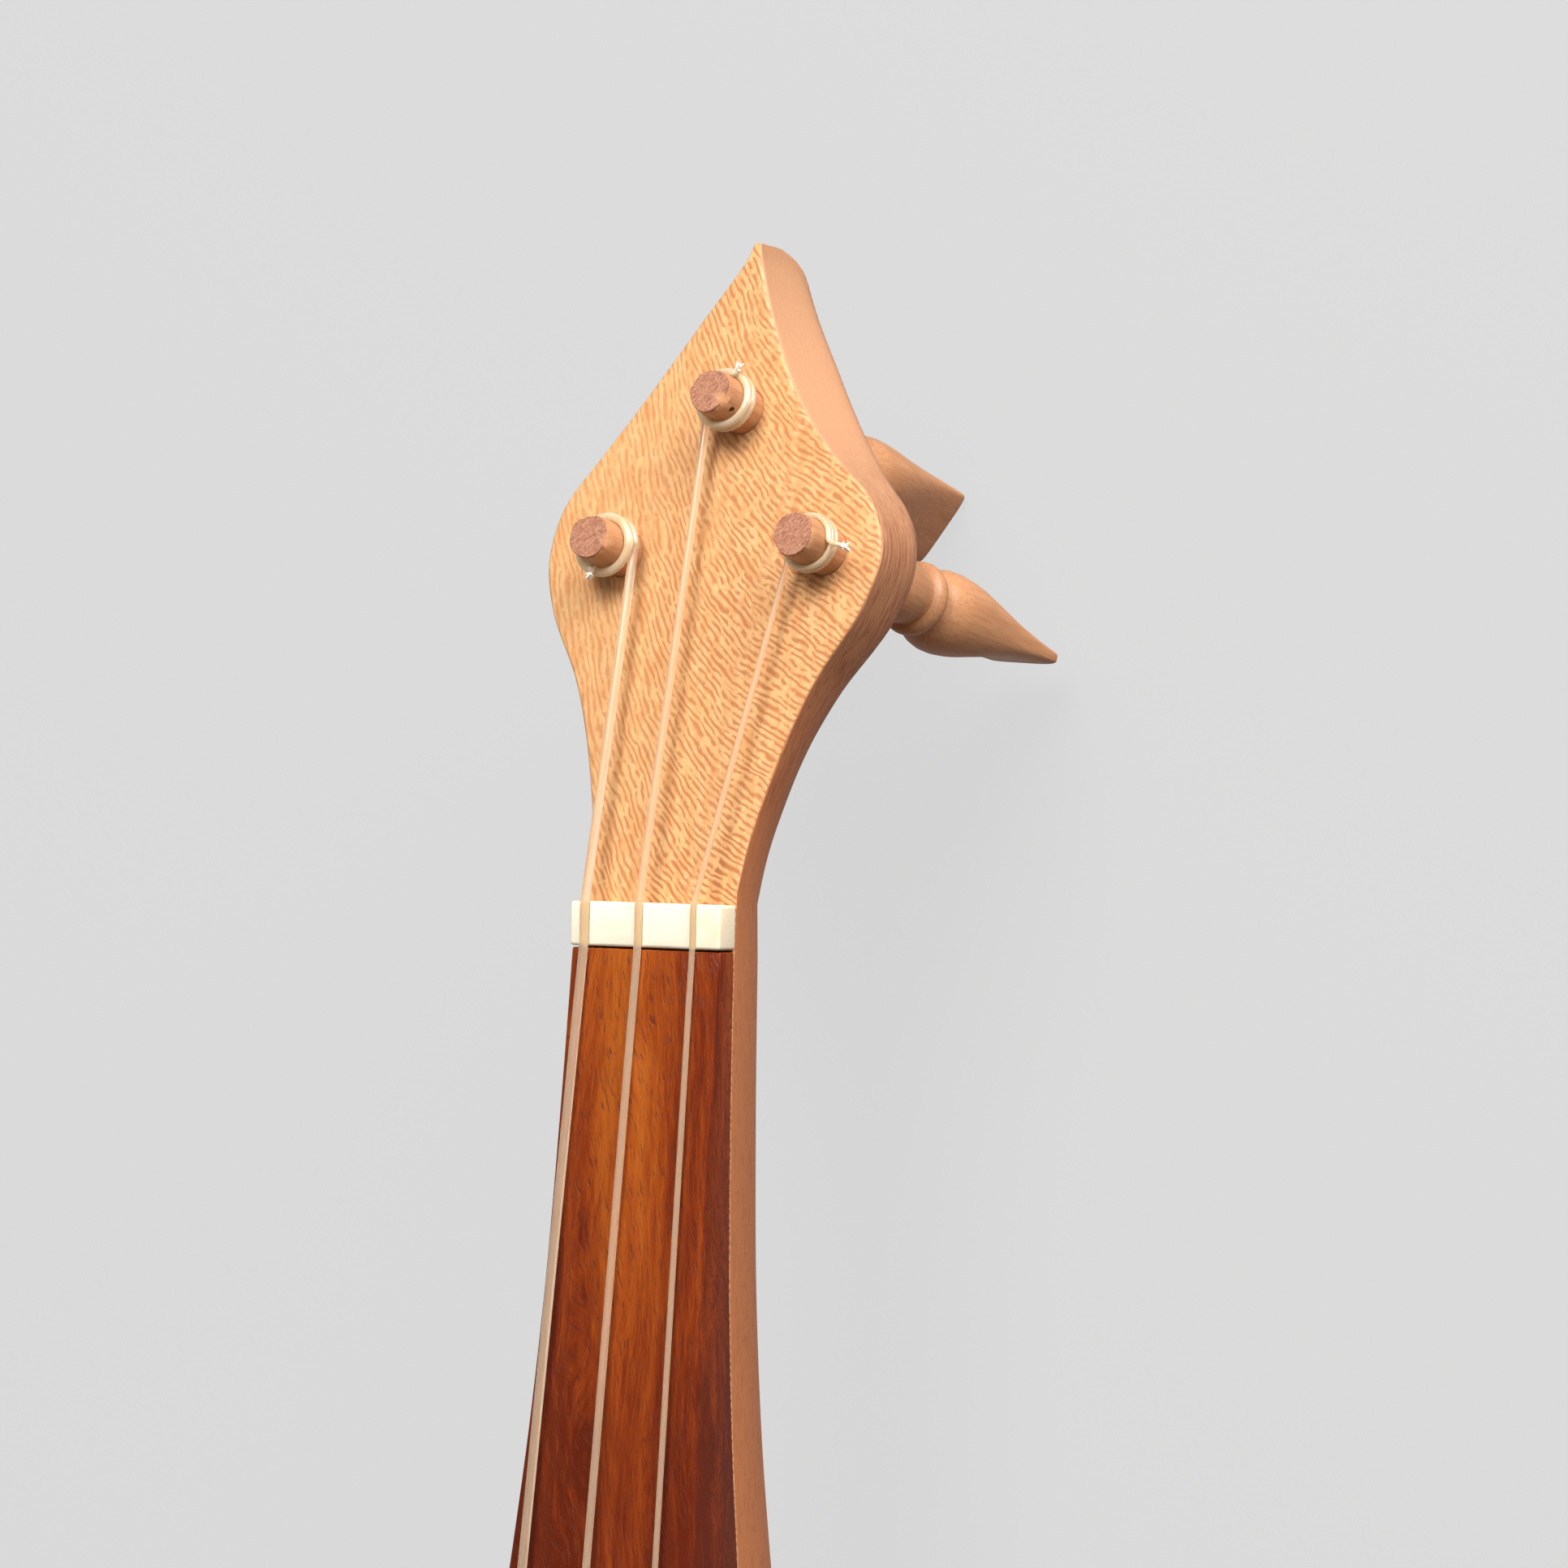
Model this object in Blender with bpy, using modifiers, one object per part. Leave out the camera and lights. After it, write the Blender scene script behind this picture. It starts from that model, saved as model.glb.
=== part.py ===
"""Three-string rebec: carved body, soundboard, fittings, strings and three friction pegs.

Frame: the instrument lies on its back.  X is across, +Y runs toward the head, +Z comes out
of the soundboard.  While building, y = 0 is the middle of the nut and z = 0 is the plane of
the soundboard's top; `seat` moves everything so the origin is the middle of the box's foot.
"""
import math

import bmesh
import bpy
import numpy as np
from mathutils import Matrix, Vector

MM = 0.001
GAP = 0.3                       # clearance between touching pieces, mm

# ---- driving dimensions, all in millimetres -------------------------------------------
HEAD_TILT = math.radians(11.9)
HEAD_START = 3.5                # y where the tilted head face begins
HEAD_LENGTH = 108.0
HEAD_THICK = 14.2
HEAD_WIDTH = ((0, 14.2), (9, 15.1), (18, 17.1), (36, 23.4), (48, 30.3), (57, 32.4),
              (66, 29.2), (72, 23.5), (78, 18.3), (84, 13.9), (91, 9.5), (97, 6.0),
              (102, 3.2), (106, 1.25), (108, 0.6))
HEAD_DRIFT = ((0, 0), (50, 0), (59, 0), (66, -0.8), (72, -2.0), (78, -2.6), (84, -2.6),
              (91, -2.1), (97, -1.4), (103, -0.4), (108, 0.3))   # the carved face's lean
HEAD_FLARE = ((0, 0), (60, 0), (72, 0.03), (78, 0.07), (85, 0.12), (91, 0.16), (97, 0.17),
              (103, 0.15), (108, 0.1))                           # back wider than face
HEAD_STATIONS = (2, 9, 18, 27, 36, 43, 50, 57, 63, 67, 71, 76, 81, 86, 91, 96, 101, 105, 108)
TIP_ROUND = 3.5
HEAD_POWER = ((0, 2.4), (15, 2.5), (30, 3.2), (40, 4.6), (52, 7.5), (70, 9), (108, 9))
WIDTH = ((-340, 88), (-300, 83.5), (-250, 67), (-200, 46), (-160, 31.0), (-130, 22.6),
         (-115, 19.6), (-90, 16.9), (-60, 15.1), (-30, 14.5), (0, 14.4))
DEPTH = ((-340, 76), (-300, 72), (-250, 59.5), (-200, 43), (-160, 31), (-130, 24.2),
         (-115, 21.5), (-90, 18.4), (-60, 16.2), (-30, 15.2), (0, 14.6))
TAIL_CENTRE, TAIL_LENGTH, TAIL_TURN = -340.0, 95.0, math.radians(82)
BOARD_THICK = 3.0
BOARD_START = -130.0
WALL_SIDE, WALL_BACK = 5.0, 5.5
CAVITY_START, CAVITY_END = -155.0, -417.0
SOUND_HOLE = (40.0, -302.0, 13.0)          # x, y, radius of the D
SOUNDPOST = (14.0, -333.0, 3.0, -68.4)     # x, y, radius, height of the foot
BASS_BAR = (-14.0, -236.0, -386.0, 5.0, -12.0)   # x, upper end, lower end, thickness, depth
BRACES = (("brace_upper", -212.0), ("brace_lower", -401.0))
BRACE_THICK, BRACE_DEEP, BRACE_END = 6.0, -8.0, 10.0

FINGERBOARD_END = -215.0
FINGERBOARD_NUT_THICK, FINGERBOARD_SLOPE, FINGERBOARD_CAMBER = 3.6, 0.086, 0.5
FINGERBOARD_WIDTH = ((-215, 23.4), (-180, 23.0), (-150, 22.2), (-115, 19.4), (-90, 16.8),
                     (-60, 15.0), (-30, 14.3), (0, 14.2))
NUT_HALF_LENGTH, NUT_HALF_WIDTH, NUT_TOP = 3.5, 14.5, 4.3

BRIDGE_Y, BRIDGE_FOOT, BRIDGE_TOP, BRIDGE_HEIGHT = -326.0, 5.0, 3.0, 37.2
STRINGS = {                     # name: x at nut, x at bridge, bridge height, diameter
    "left": (-11.2, -18.6, 35.6, 1.5),
    "middle": (-0.8, -0.8, 37.4, 1.25),
    "right": (9.6, 17.0, 35.6, 0.95),
}
TAILPIECE_FRONT, TAILPIECE_BACK = Vector((0, -358, 24)), Vector((0, -424, 10))
TAILPIECE_THICK, TAIL_HOLE_BACK, TAIL_HOLE_SPREAD = 4.5, 9.0, 0.72

PEGS = {                        # name: x, distance up the head, lean, turn of the handle
    "left": (-17.3, 56.8, 1.5, 30.0),
    "middle": (2.2, 80.1, 3.2, 59.4),
    "right": (22.1, 56.8, 2.1, -3.0),
}
PEG_FRONT, PEG_END = 10.0, -60.0
PEG_FRONT_RADIUS, PEG_TAPER = 3.65, 1 / 60
PEG_WING_HALF = 6.8
PEG_SIDES = 20
WIND_LOW, WIND_HIGH = 1.2, 6.4

BUTTON_Z, BUTTON_PIN = -8.0, 3.0
SADDLE = ((-11, -433.4, GAP), (11, -428.4, 3.4))
LOOP_RADIUS, LOOP_HALF = 1.0, 5.6


# ---- helpers ---------------------------------------------------------------------------
def smooth(points, at):
    """Smooth curve through (position, value) pairs, read at one position."""
    xs = np.array([p[0] for p in points], float)
    ys = np.array([p[1] for p in points], float)
    slopes = np.gradient(ys, xs)
    i = int(np.clip(np.searchsorted(xs, at) - 1, 0, len(xs) - 2))
    h = xs[i + 1] - xs[i]
    t = float(np.clip((at - xs[i]) / h, 0, 1))
    return ((2 * t**3 - 3 * t**2 + 1) * ys[i] + (t**3 - 2 * t**2 + t) * h * slopes[i]
            + (3 * t**2 - 2 * t**3) * ys[i + 1] + (t**3 - t**2) * h * slopes[i + 1])


def material(name, rgb, rough, metallic=0.0):
    """A plain Principled material."""
    mat = bpy.data.materials.new(name)
    mat.use_nodes = True
    shader = mat.node_tree.nodes["Principled BSDF"]
    shader.inputs["Base Color"].default_value = (*rgb, 1.0)
    shader.inputs["Roughness"].default_value = rough
    shader.inputs["Metallic"].default_value = metallic
    return mat


def collection(name):
    """A collection linked to the scene."""
    col = bpy.data.collections.new(name)
    bpy.context.scene.collection.children.link(col)
    return col


def add_mesh(name, bm, mat, col, origin=(0, 0, 0)):
    """Turn a bmesh in millimetres into an object whose origin is at `origin`."""
    origin = Vector(origin)
    bmesh.ops.recalc_face_normals(bm, faces=bm.faces[:])
    bmesh.ops.transform(bm, matrix=Matrix.Scale(MM, 4) @ Matrix.Translation(-origin),
                        verts=bm.verts[:])
    mesh = bpy.data.meshes.new(name)
    bm.to_mesh(mesh)
    bm.free()
    if mat:
        mesh.materials.append(mat)
    obj = bpy.data.objects.new(name, mesh)
    obj.location = origin * MM
    col.objects.link(obj)
    return obj


def loft(rings):
    """Skin a list of equal rings and cap both ends."""
    bm = bmesh.new()
    rows = [[bm.verts.new(p) for p in ring] for ring in rings]
    count = len(rows[0])
    for a, b in zip(rows, rows[1:]):
        for i in range(count):
            j = (i + 1) % count
            bm.faces.new((a[i], a[j], b[j], b[i]))
    bm.faces.new(rows[0])
    bm.faces.new(rows[-1])
    return bm


def box(low, high):
    """Box between two corners."""
    bm = bmesh.new()
    bmesh.ops.create_cube(bm, size=1.0)
    low, high = Vector(low), Vector(high)
    size = Matrix.Diagonal((*(high - low), 1.0))
    bmesh.ops.transform(bm, matrix=Matrix.Translation((low + high) / 2) @ size,
                        verts=bm.verts[:])
    return bm


def cone(radius_low, radius_high, low, high, frame, segments):
    """Straight or tapered round solid between two heights on a frame's z axis."""
    bm = bmesh.new()
    bmesh.ops.create_cone(bm, cap_ends=True, segments=segments, radius1=radius_low,
                          radius2=radius_high, depth=high - low)
    bmesh.ops.transform(bm, matrix=frame @ Matrix.Translation((0, 0, (low + high) / 2)),
                        verts=bm.verts[:])
    return bm


def turned(name, profile, frame, mat, col, closed=False, segments=20):
    """Turned piece: a (radius, z) profile, listed top to bottom, under a Screw modifier."""
    mesh = bpy.data.meshes.new(name)
    count = len(profile)
    edges = [(i, (i + 1) % count) for i in range(count if closed else count - 1)]
    mesh.from_pydata([(r * MM, 0, z * MM) for r, z in profile], edges, [])
    mesh.materials.append(mat)
    obj = bpy.data.objects.new(name, mesh)
    obj.matrix_world = Matrix.Translation(frame.translation * MM) @ frame.to_3x3().to_4x4()
    col.objects.link(obj)
    mod = obj.modifiers.new("turn", "SCREW")
    mod.steps = mod.render_steps = segments
    mod.use_merge_vertices = True
    mod.merge_threshold = 1e-5
    mod.use_smooth_shade = False
    return obj


def flat(name, rim, thick, frame, mat, col):
    """Flat piece: a closed 2D outline given `thick`, centred on its plane, as a mesh."""
    curve = bpy.data.curves.new(name + "_outline", "CURVE")
    curve.dimensions = "2D"
    curve.fill_mode = "BOTH"
    curve.extrude = thick * MM / 2
    line = curve.splines.new("POLY")
    line.points.add(len(rim) - 1)
    for knot, (u, v) in zip(line.points, rim):
        knot.co = (u * MM, v * MM, 0, 1)
    line.use_cyclic_u = True
    source = bpy.data.objects.new(name + "_outline", curve)
    col.objects.link(source)
    graph = bpy.context.evaluated_depsgraph_get()
    mesh = bpy.data.meshes.new_from_object(source.evaluated_get(graph))
    bpy.data.objects.remove(source, do_unlink=True)
    bm = bmesh.new()
    bm.from_mesh(mesh)
    bmesh.ops.remove_doubles(bm, verts=bm.verts[:], dist=1e-6)
    bmesh.ops.recalc_face_normals(bm, faces=bm.faces[:])
    bmesh.ops.transform(bm, verts=bm.verts[:], matrix=(
        Matrix.Translation(frame.translation * MM) @ frame.to_3x3().to_4x4()))
    bm.to_mesh(mesh)
    bm.free()
    mesh.name = name
    mesh.materials.clear()
    if mat:
        mesh.materials.append(mat)
    obj = bpy.data.objects.new(name, mesh)
    col.objects.link(obj)
    return obj


def upright(y):
    """Frame of a plane across the body at y: u is x, v is z."""
    return Matrix.Translation((0, y, 0)) @ Matrix.Rotation(math.pi / 2, 4, "X")


def wire(name, points, radius, mat, col):
    """Round cord along a line of points, ends closed."""
    curve = bpy.data.curves.new(name, "CURVE")
    curve.dimensions = "3D"
    curve.bevel_depth = radius * MM
    curve.bevel_resolution = 2
    curve.use_fill_caps = True
    line = curve.splines.new("POLY")
    line.points.add(len(points) - 1)
    for knot, point in zip(line.points, points):
        knot.co = (*(Vector(point) * MM), 1.0)
    curve.materials.append(mat)
    obj = bpy.data.objects.new(name, curve)
    col.objects.link(obj)
    return obj


def cut(obj, cutter):
    """Live exact Boolean difference."""
    mod = obj.modifiers.new("cut_" + cutter.name, "BOOLEAN")
    mod.operation = "DIFFERENCE"
    mod.solver = "EXACT"
    mod.object = cutter


def bevel(obj, width, segments=1):
    """Rounded edges."""
    mod = obj.modifiers.new("bevel", "BEVEL")
    mod.width = width * MM
    mod.segments = segments
    mod.limit_method = "ANGLE"
    mod.angle_limit = math.radians(40)


# ---- shape of the body -----------------------------------------------------------------
def head_point(x, along, up):
    """Point given by its place on the tilted head face and height above it."""
    return Vector((x, HEAD_START + along * math.cos(HEAD_TILT) + up * math.sin(HEAD_TILT),
                   -along * math.sin(HEAD_TILT) + up * math.cos(HEAD_TILT)))


def section(half, depth, power, count=17):
    """Half-round back section from one rim over the back to the other rim."""
    points = []
    for k in range(count):
        t = math.pi * k / (count - 1)
        c, s = math.cos(t), max(math.sin(t), 0.0)
        points.append((-half * math.copysign(abs(c) ** (2 / power), c),
                       -depth * s ** (2 / power)))
    return points


def body_size(y):
    """Half width and depth of the body at y."""
    if y < TAIL_CENTRE:
        fall = math.sqrt(max(1 - ((TAIL_CENTRE - y) / TAIL_LENGTH) ** 2, 0))
        return WIDTH[0][1] * fall ** 0.9, DEPTH[0][1] * fall ** 0.8
    return smooth(WIDTH, y), smooth(DEPTH, y)


def head_depth(along):
    """Thickness of the head, its back corner rounded off near the tip."""
    over = max(along - (HEAD_LENGTH - TIP_ROUND), 0)
    return HEAD_THICK - TIP_ROUND + math.sqrt(TIP_ROUND**2 - over**2)


def head_ring(along):
    """Section of the head: its face drifts aside and its back flares, as carved by hand."""
    depth = head_depth(along)
    drift, flare = smooth(HEAD_DRIFT, along), smooth(HEAD_FLARE, along)
    ring = []
    for x, z in section(smooth(HEAD_WIDTH, along), depth, smooth(HEAD_POWER, along)):
        share = -z / depth
        ring.append(head_point(x * (1 + flare * share) + drift * (1 - share), along, z))
    return ring


def tail_stations(count):
    """Stations that close up toward the tail end."""
    return [TAIL_CENTRE - TAIL_LENGTH * math.sin(TAIL_TURN * k / count)
            for k in range(count, 0, -1)]


def build_body(mats, col, cutters):
    """Head, neck and bowl carved from one piece, with the hollow and the drilled holes."""
    rings = []
    for y in tail_stations(9) + list(np.arange(-340, -130, 20)) + [-130, -115, -95, -75,
                                                                  -55, -35, -15, -5]:
        half, depth = body_size(y)
        power = 2.15 + 0.35 * float(np.clip((y + 160) / 60, 0, 1))
        rings.append([Vector((x, y, z)) for x, z in section(half, depth, power)])
    rings += [head_ring(along) for along in HEAD_STATIONS]
    body = add_mesh("carved_body", loft(rings), mats["lacewood"], col)

    recess = add_mesh("recess_cutter", box((-120, -460, -BOARD_THICK - GAP),
                                           (120, BOARD_START + GAP, 20)), None, cutters)
    rings = []
    ys = [CAVITY_END, -410, -400, -388, -375, -360] + list(np.arange(-340, -160, 22.5))
    for y in ys + [CAVITY_START]:
        half, depth = body_size(y)
        inner = section(half - WALL_SIDE, depth - WALL_BACK, 2.15)
        rings.append([Vector((x, y, z)) for x, z in inner[:-1]]
                     + [Vector((inner[-1][0], y, 0)), Vector((inner[-1][0], y, 4)),
                        Vector((inner[0][0], y, 4))])
    hollow = add_mesh("hollow_cutter", loft(rings), None, cutters)
    cut(body, recess)
    cut(body, hollow)
    for name in PEGS:
        frame = peg_frame(name)
        hole = cone(hole_radius(-30), hole_radius(8), -30, 8, frame, PEG_SIDES)
        cut(body, add_mesh("peg_hole_" + name, hole, None, cutters))
    button = cone(BUTTON_PIN, BUTTON_PIN, 0, 18, tail_frame(-TAIL_LENGTH + 10.5), 16)
    cut(body, add_mesh("button_hole", button, None, cutters))
    return body


def tail_frame(reach):
    """Frame on the end button's axis, z pointing out of the tail."""
    return (Matrix.Translation((0, TAIL_CENTRE + reach, BUTTON_Z))
            @ Matrix.Rotation(math.pi / 2, 4, "X"))


def build_soundboard(mats, col, cutters):
    """Flat spruce board let into the top of the bowl, with two D-shaped holes."""
    ys = tail_stations(9) + list(np.arange(-340, BOARD_START, 20)) + [BOARD_START]
    right = [(body_size(y)[0] - 0.1, y) for y in ys]
    rim = right + [(-x, y) for x, y in reversed(right)]
    board = flat("soundboard", rim, BOARD_THICK,
                 Matrix.Translation((0, 0, -BOARD_THICK / 2)), mats["spruce"], col)
    x0, y0, radius = SOUND_HOLE
    for side, label in ((-1, "left"), (1, "right")):
        arc = [(side * (x0 + radius * 0.9 * math.cos(a)), y0 + radius * 1.3 * math.sin(a))
               for a in np.linspace(-math.pi / 2, math.pi / 2, 11)]
        cut(board, flat("sound_hole_" + label, arc, 20, Matrix.Identity(4), None, cutters))
    return board


def build_inside(mats, col):
    """Soundpost, bass bar and the two cross braces under the soundboard."""
    top = -BOARD_THICK - GAP
    x, y, radius, foot = SOUNDPOST
    post = cone(radius, radius, foot, top, Matrix.Translation((x, y, 0)), 12)
    add_mesh("soundpost", post, mats["spruce"], col)
    x, upper, lower, thick, deep = BASS_BAR
    bar = [(upper, top), (upper, top - 0.7), (upper - 10, deep), (lower + 10, deep),
           (lower, top - 0.7), (lower, top)]
    turn = Matrix(((0, 0, 1, x), (1, 0, 0, 0), (0, 1, 0, 0), (0, 0, 0, 1)))
    flat("bass_bar", bar, thick, turn, mats["spruce"], col)
    for name, y in BRACES:
        half = body_size(y)[0] - WALL_SIDE - 3
        inner = half - BRACE_END
        shape = [(-half, top), (half, top), (half, top - 2), (inner, top + BRACE_DEEP),
                 (-inner, top + BRACE_DEEP), (-half, top - 2)]
        flat(name, shape, BRACE_THICK, upright(y), mats["spruce"], col)


# ---- fittings --------------------------------------------------------------------------
def board_top(y):
    """Height of the fingerboard's edge at y."""
    return FINGERBOARD_NUT_THICK + FINGERBOARD_SLOPE * (-y - NUT_HALF_LENGTH)


def build_fingerboard(mats, col):
    """Wedge that thickens toward the bridge, slightly cambered on top."""
    rings = []
    for y in (FINGERBOARD_END, -190, -165, -140, -120, -100, -80, -60, -40, -20,
              -NUT_HALF_LENGTH - GAP):
        half, top = smooth(FINGERBOARD_WIDTH, y), board_top(y)
        ring = [Vector((-half, y, GAP)), Vector((half, y, GAP))]
        for k in np.linspace(1, -1, 7):
            ring.append(Vector((half * k, y, top + FINGERBOARD_CAMBER * (1 - k * k))))
        rings.append(ring)
    return add_mesh("fingerboard", loft(rings), mats["rosewood"], col)


def string_height(name, y):
    """Height of a string's centre at y between nut and bridge."""
    _, _, bridge_z, size = STRINGS[name]
    start = NUT_TOP - 0.2 + size / 2
    end = bridge_z + size / 2
    share = (-y - NUT_HALF_LENGTH) / (-BRIDGE_Y - NUT_HALF_LENGTH)
    return start + (end - start) * share


def string_x(name, y):
    """Sideways place of a string at y."""
    nut_x, bridge_x = STRINGS[name][:2]
    return nut_x + (bridge_x - nut_x) * y / BRIDGE_Y


def build_nut(mats, col, cutters):
    """Bone nut with three shallow slots."""
    nut = add_mesh("nut", box((-NUT_HALF_WIDTH, -NUT_HALF_LENGTH, GAP),
                              (NUT_HALF_WIDTH, NUT_HALF_LENGTH, NUT_TOP)), mats["bone"], col)
    for name, (x, _, _, size) in STRINGS.items():
        half = size / 2 + GAP
        slot = add_mesh("nut_slot_" + name, box((x - half, -6, NUT_TOP - 0.5),
                                                (x + half, 6, NUT_TOP + 2)), None, cutters)
        cut(nut, slot)
    return nut


def build_bridge(mats, col, cutters):
    """Arched bridge with two feet, thicker at the foot than at the top."""
    face = [(-26, 0.3), (-13, 0.3), (-10, 5), (-5, 9.5), (0, 11), (5, 9.5), (10, 5),
            (13, 0.3), (26, 0.3), (25, 6), (22.5, 16), (23, 31), (21, 34.6), (11, 36.5),
            (-0.8, BRIDGE_HEIGHT), (-12.5, 36.5), (-22.5, 34.6), (-24, 31), (-22.5, 16), (-25, 6)]
    bridge = flat("bridge", face, BRIDGE_FOOT, upright(BRIDGE_Y), mats["maple"], col)
    for v in bridge.data.vertices:
        share = 1 + (BRIDGE_TOP / BRIDGE_FOOT - 1) * v.co.z / (BRIDGE_HEIGHT * MM)
        v.co.y = BRIDGE_Y * MM + (v.co.y - BRIDGE_Y * MM) * share
    for name, (_, x, z, size) in STRINGS.items():
        half = size / 2 + GAP
        slot = add_mesh("bridge_slot_" + name, box((x - half, BRIDGE_Y - 8, z - GAP),
                                                   (x + half, BRIDGE_Y + 8, z + 6)),
                        None, cutters)
        cut(bridge, slot)
    return bridge


def tailpiece_frame():
    """Frame on the tailpiece's top: origin at its front end, y toward the bridge."""
    along = (TAILPIECE_FRONT - TAILPIECE_BACK).normalized()
    up = Vector((1, 0, 0)).cross(along)
    frame = Matrix.Identity(4)
    for row in range(3):
        frame[row][0], frame[row][1], frame[row][2] = (1.0, 0.0, 0.0)[row], along[row], up[row]
        frame[row][3] = TAILPIECE_FRONT[row]
    return frame


def build_tailpiece(mats, col, cutters):
    """Tapered plate with three string holes and two holes for the tail gut."""
    length = (TAILPIECE_FRONT - TAILPIECE_BACK).length
    right = [(20.5, -2), (20.5, -12), (16, -32), (11, -52), (8.5, -length + 2)]
    rim = ([(17, 0)] + right + [(6.5, -length), (-6.5, -length)]
           + [(-x, y) for x, y in reversed(right)] + [(-17, 0)])
    tail = flat("tailpiece", rim, TAILPIECE_THICK,
                tailpiece_frame() @ Matrix.Translation((0, 0, -TAILPIECE_THICK / 2)),
                mats["rosewood"], col)
    for name, (_, x, _, size) in STRINGS.items():
        place = Matrix.Translation((x * TAIL_HOLE_SPREAD, -TAIL_HOLE_BACK, 0))
        hole = cone(size / 2 + 0.5, size / 2 + 0.5, -8, 4, tailpiece_frame() @ place, 12)
        cut(tail, add_mesh("tail_hole_" + name, hole, None, cutters))
    return tail


def build_tail_end(mats, col, cutters):
    """Saddle, end button and the gut loop that holds the tailpiece."""
    saddle = add_mesh("tail_saddle", box(*SADDLE), mats["rosewood"], col)
    bevel(saddle, 0.6)
    pin = BUTTON_PIN - GAP
    profile = [(0, 12.4), (4.4, 12.4), (6.6, 10), (6.6, 7.4), (4.2, 5.0), (4.2, 2.6),
               (5.2, 0.6), (pin, -0.4), (pin, -9.8), (0, -9.8)]
    turned("end_button", profile, tail_frame(-TAIL_LENGTH + 0.2), mats["rosewood"], col)
    y_loop = TAIL_CENTRE - TAIL_LENGTH - 4.0
    points = [Vector((4.2, -424.9, 6.9)), Vector((4.4, -429.2, 4.7)),
              Vector((4.6, -433.2, 4.7)), Vector((5.4, -437.2, 0.0)),
              Vector((LOOP_HALF, y_loop, BUTTON_Z))]
    for k in range(1, 4):
        a = math.pi * k / 4
        points.append(Vector((LOOP_HALF * math.cos(a), y_loop,
                              BUTTON_Z - LOOP_HALF * math.sin(a))))
    points += [Vector((-p.x, p.y, p.z)) for p in reversed(points[:5])]
    wire("tail_gut", points, LOOP_RADIUS, mats["gut"], col)


def peg_radius(z):
    """Radius of the tapered peg at height z above the head face."""
    return PEG_FRONT_RADIUS + (PEG_FRONT - z) * PEG_TAPER


def hole_radius(z):
    """Radius of the peg hole: the peg's corners clear its flats at every angle."""
    return peg_radius(z) / math.cos(math.pi / PEG_SIDES) + 0.02


def peg_frame(name):
    """Frame on a peg's axis: origin on the head face, z out of the front."""
    x, along, lean, _ = PEGS[name]
    return (Matrix.Translation(head_point(x, along, 0))
            @ Matrix.Rotation(-HEAD_TILT - math.radians(lean), 4, "X"))


def build_peg(name, mats, col):
    """Tapered friction peg: turned shaft, bead, and a bulb that flattens to a wing."""
    frame = peg_frame(name)
    turn = math.radians(PEGS[name][3])
    sizes = [(PEG_FRONT_RADIUS - 0.5, 1, PEG_FRONT),
             (PEG_FRONT_RADIUS, 1, PEG_FRONT - 0.5),
             (peg_radius(0), 1, 0), (peg_radius(-17), 1, -17), (4.7, 1, -18), (4.7, 1, -23.5),
             (5.7, 1, -25), (5.7, 1, -27), (4.9, 1, -28.4), (6.4, 0.99, -30.5),
             (7.2, 0.95, -34), (7.2, 0.84, -39), (6.9, 0.66, -44), (6.8, 0.45, -49),
             (PEG_WING_HALF, 0.27, -55), (PEG_WING_HALF, 0.19, PEG_END + 1),
             (6.3, 0.14, PEG_END)]
    rings = []
    for wide, flat, z in sizes:
        power = 2 + 3.0 * (1 - flat)
        ring = []
        for k in range(PEG_SIDES):
            a = 2 * math.pi * k / PEG_SIDES
            c, s = math.cos(a), math.sin(a)
            u = wide * math.copysign(abs(c) ** (2 / power), c)
            v = wide * flat * math.copysign(abs(s) ** (2 / power), s)
            ring.append(frame @ Vector((u * math.cos(turn) - v * math.sin(turn),
                                        u * math.sin(turn) + v * math.cos(turn), z)))
        rings.append(ring)
    add_mesh("peg_" + name, loft(rings), mats["pear"], col, frame.translation)


def wind_outer(name):
    """Outer radius of the windings on a peg."""
    return peg_radius(4) + GAP + STRINGS[name][3] - 0.1


def build_winding(name, mats, col):
    """The turns of string on a peg, as one ring."""
    frame = peg_frame(name)
    inner, outer = peg_radius(WIND_LOW) + GAP, wind_outer(name)
    profile = [(inner, WIND_HIGH), (outer - 0.4, WIND_HIGH), (outer, WIND_HIGH - 0.6),
               (outer, WIND_LOW + 0.6), (outer - 0.4, WIND_LOW), (inner, WIND_LOW)]
    turned("winding_" + name, profile, frame, mats["gut"], col, closed=True)


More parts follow.
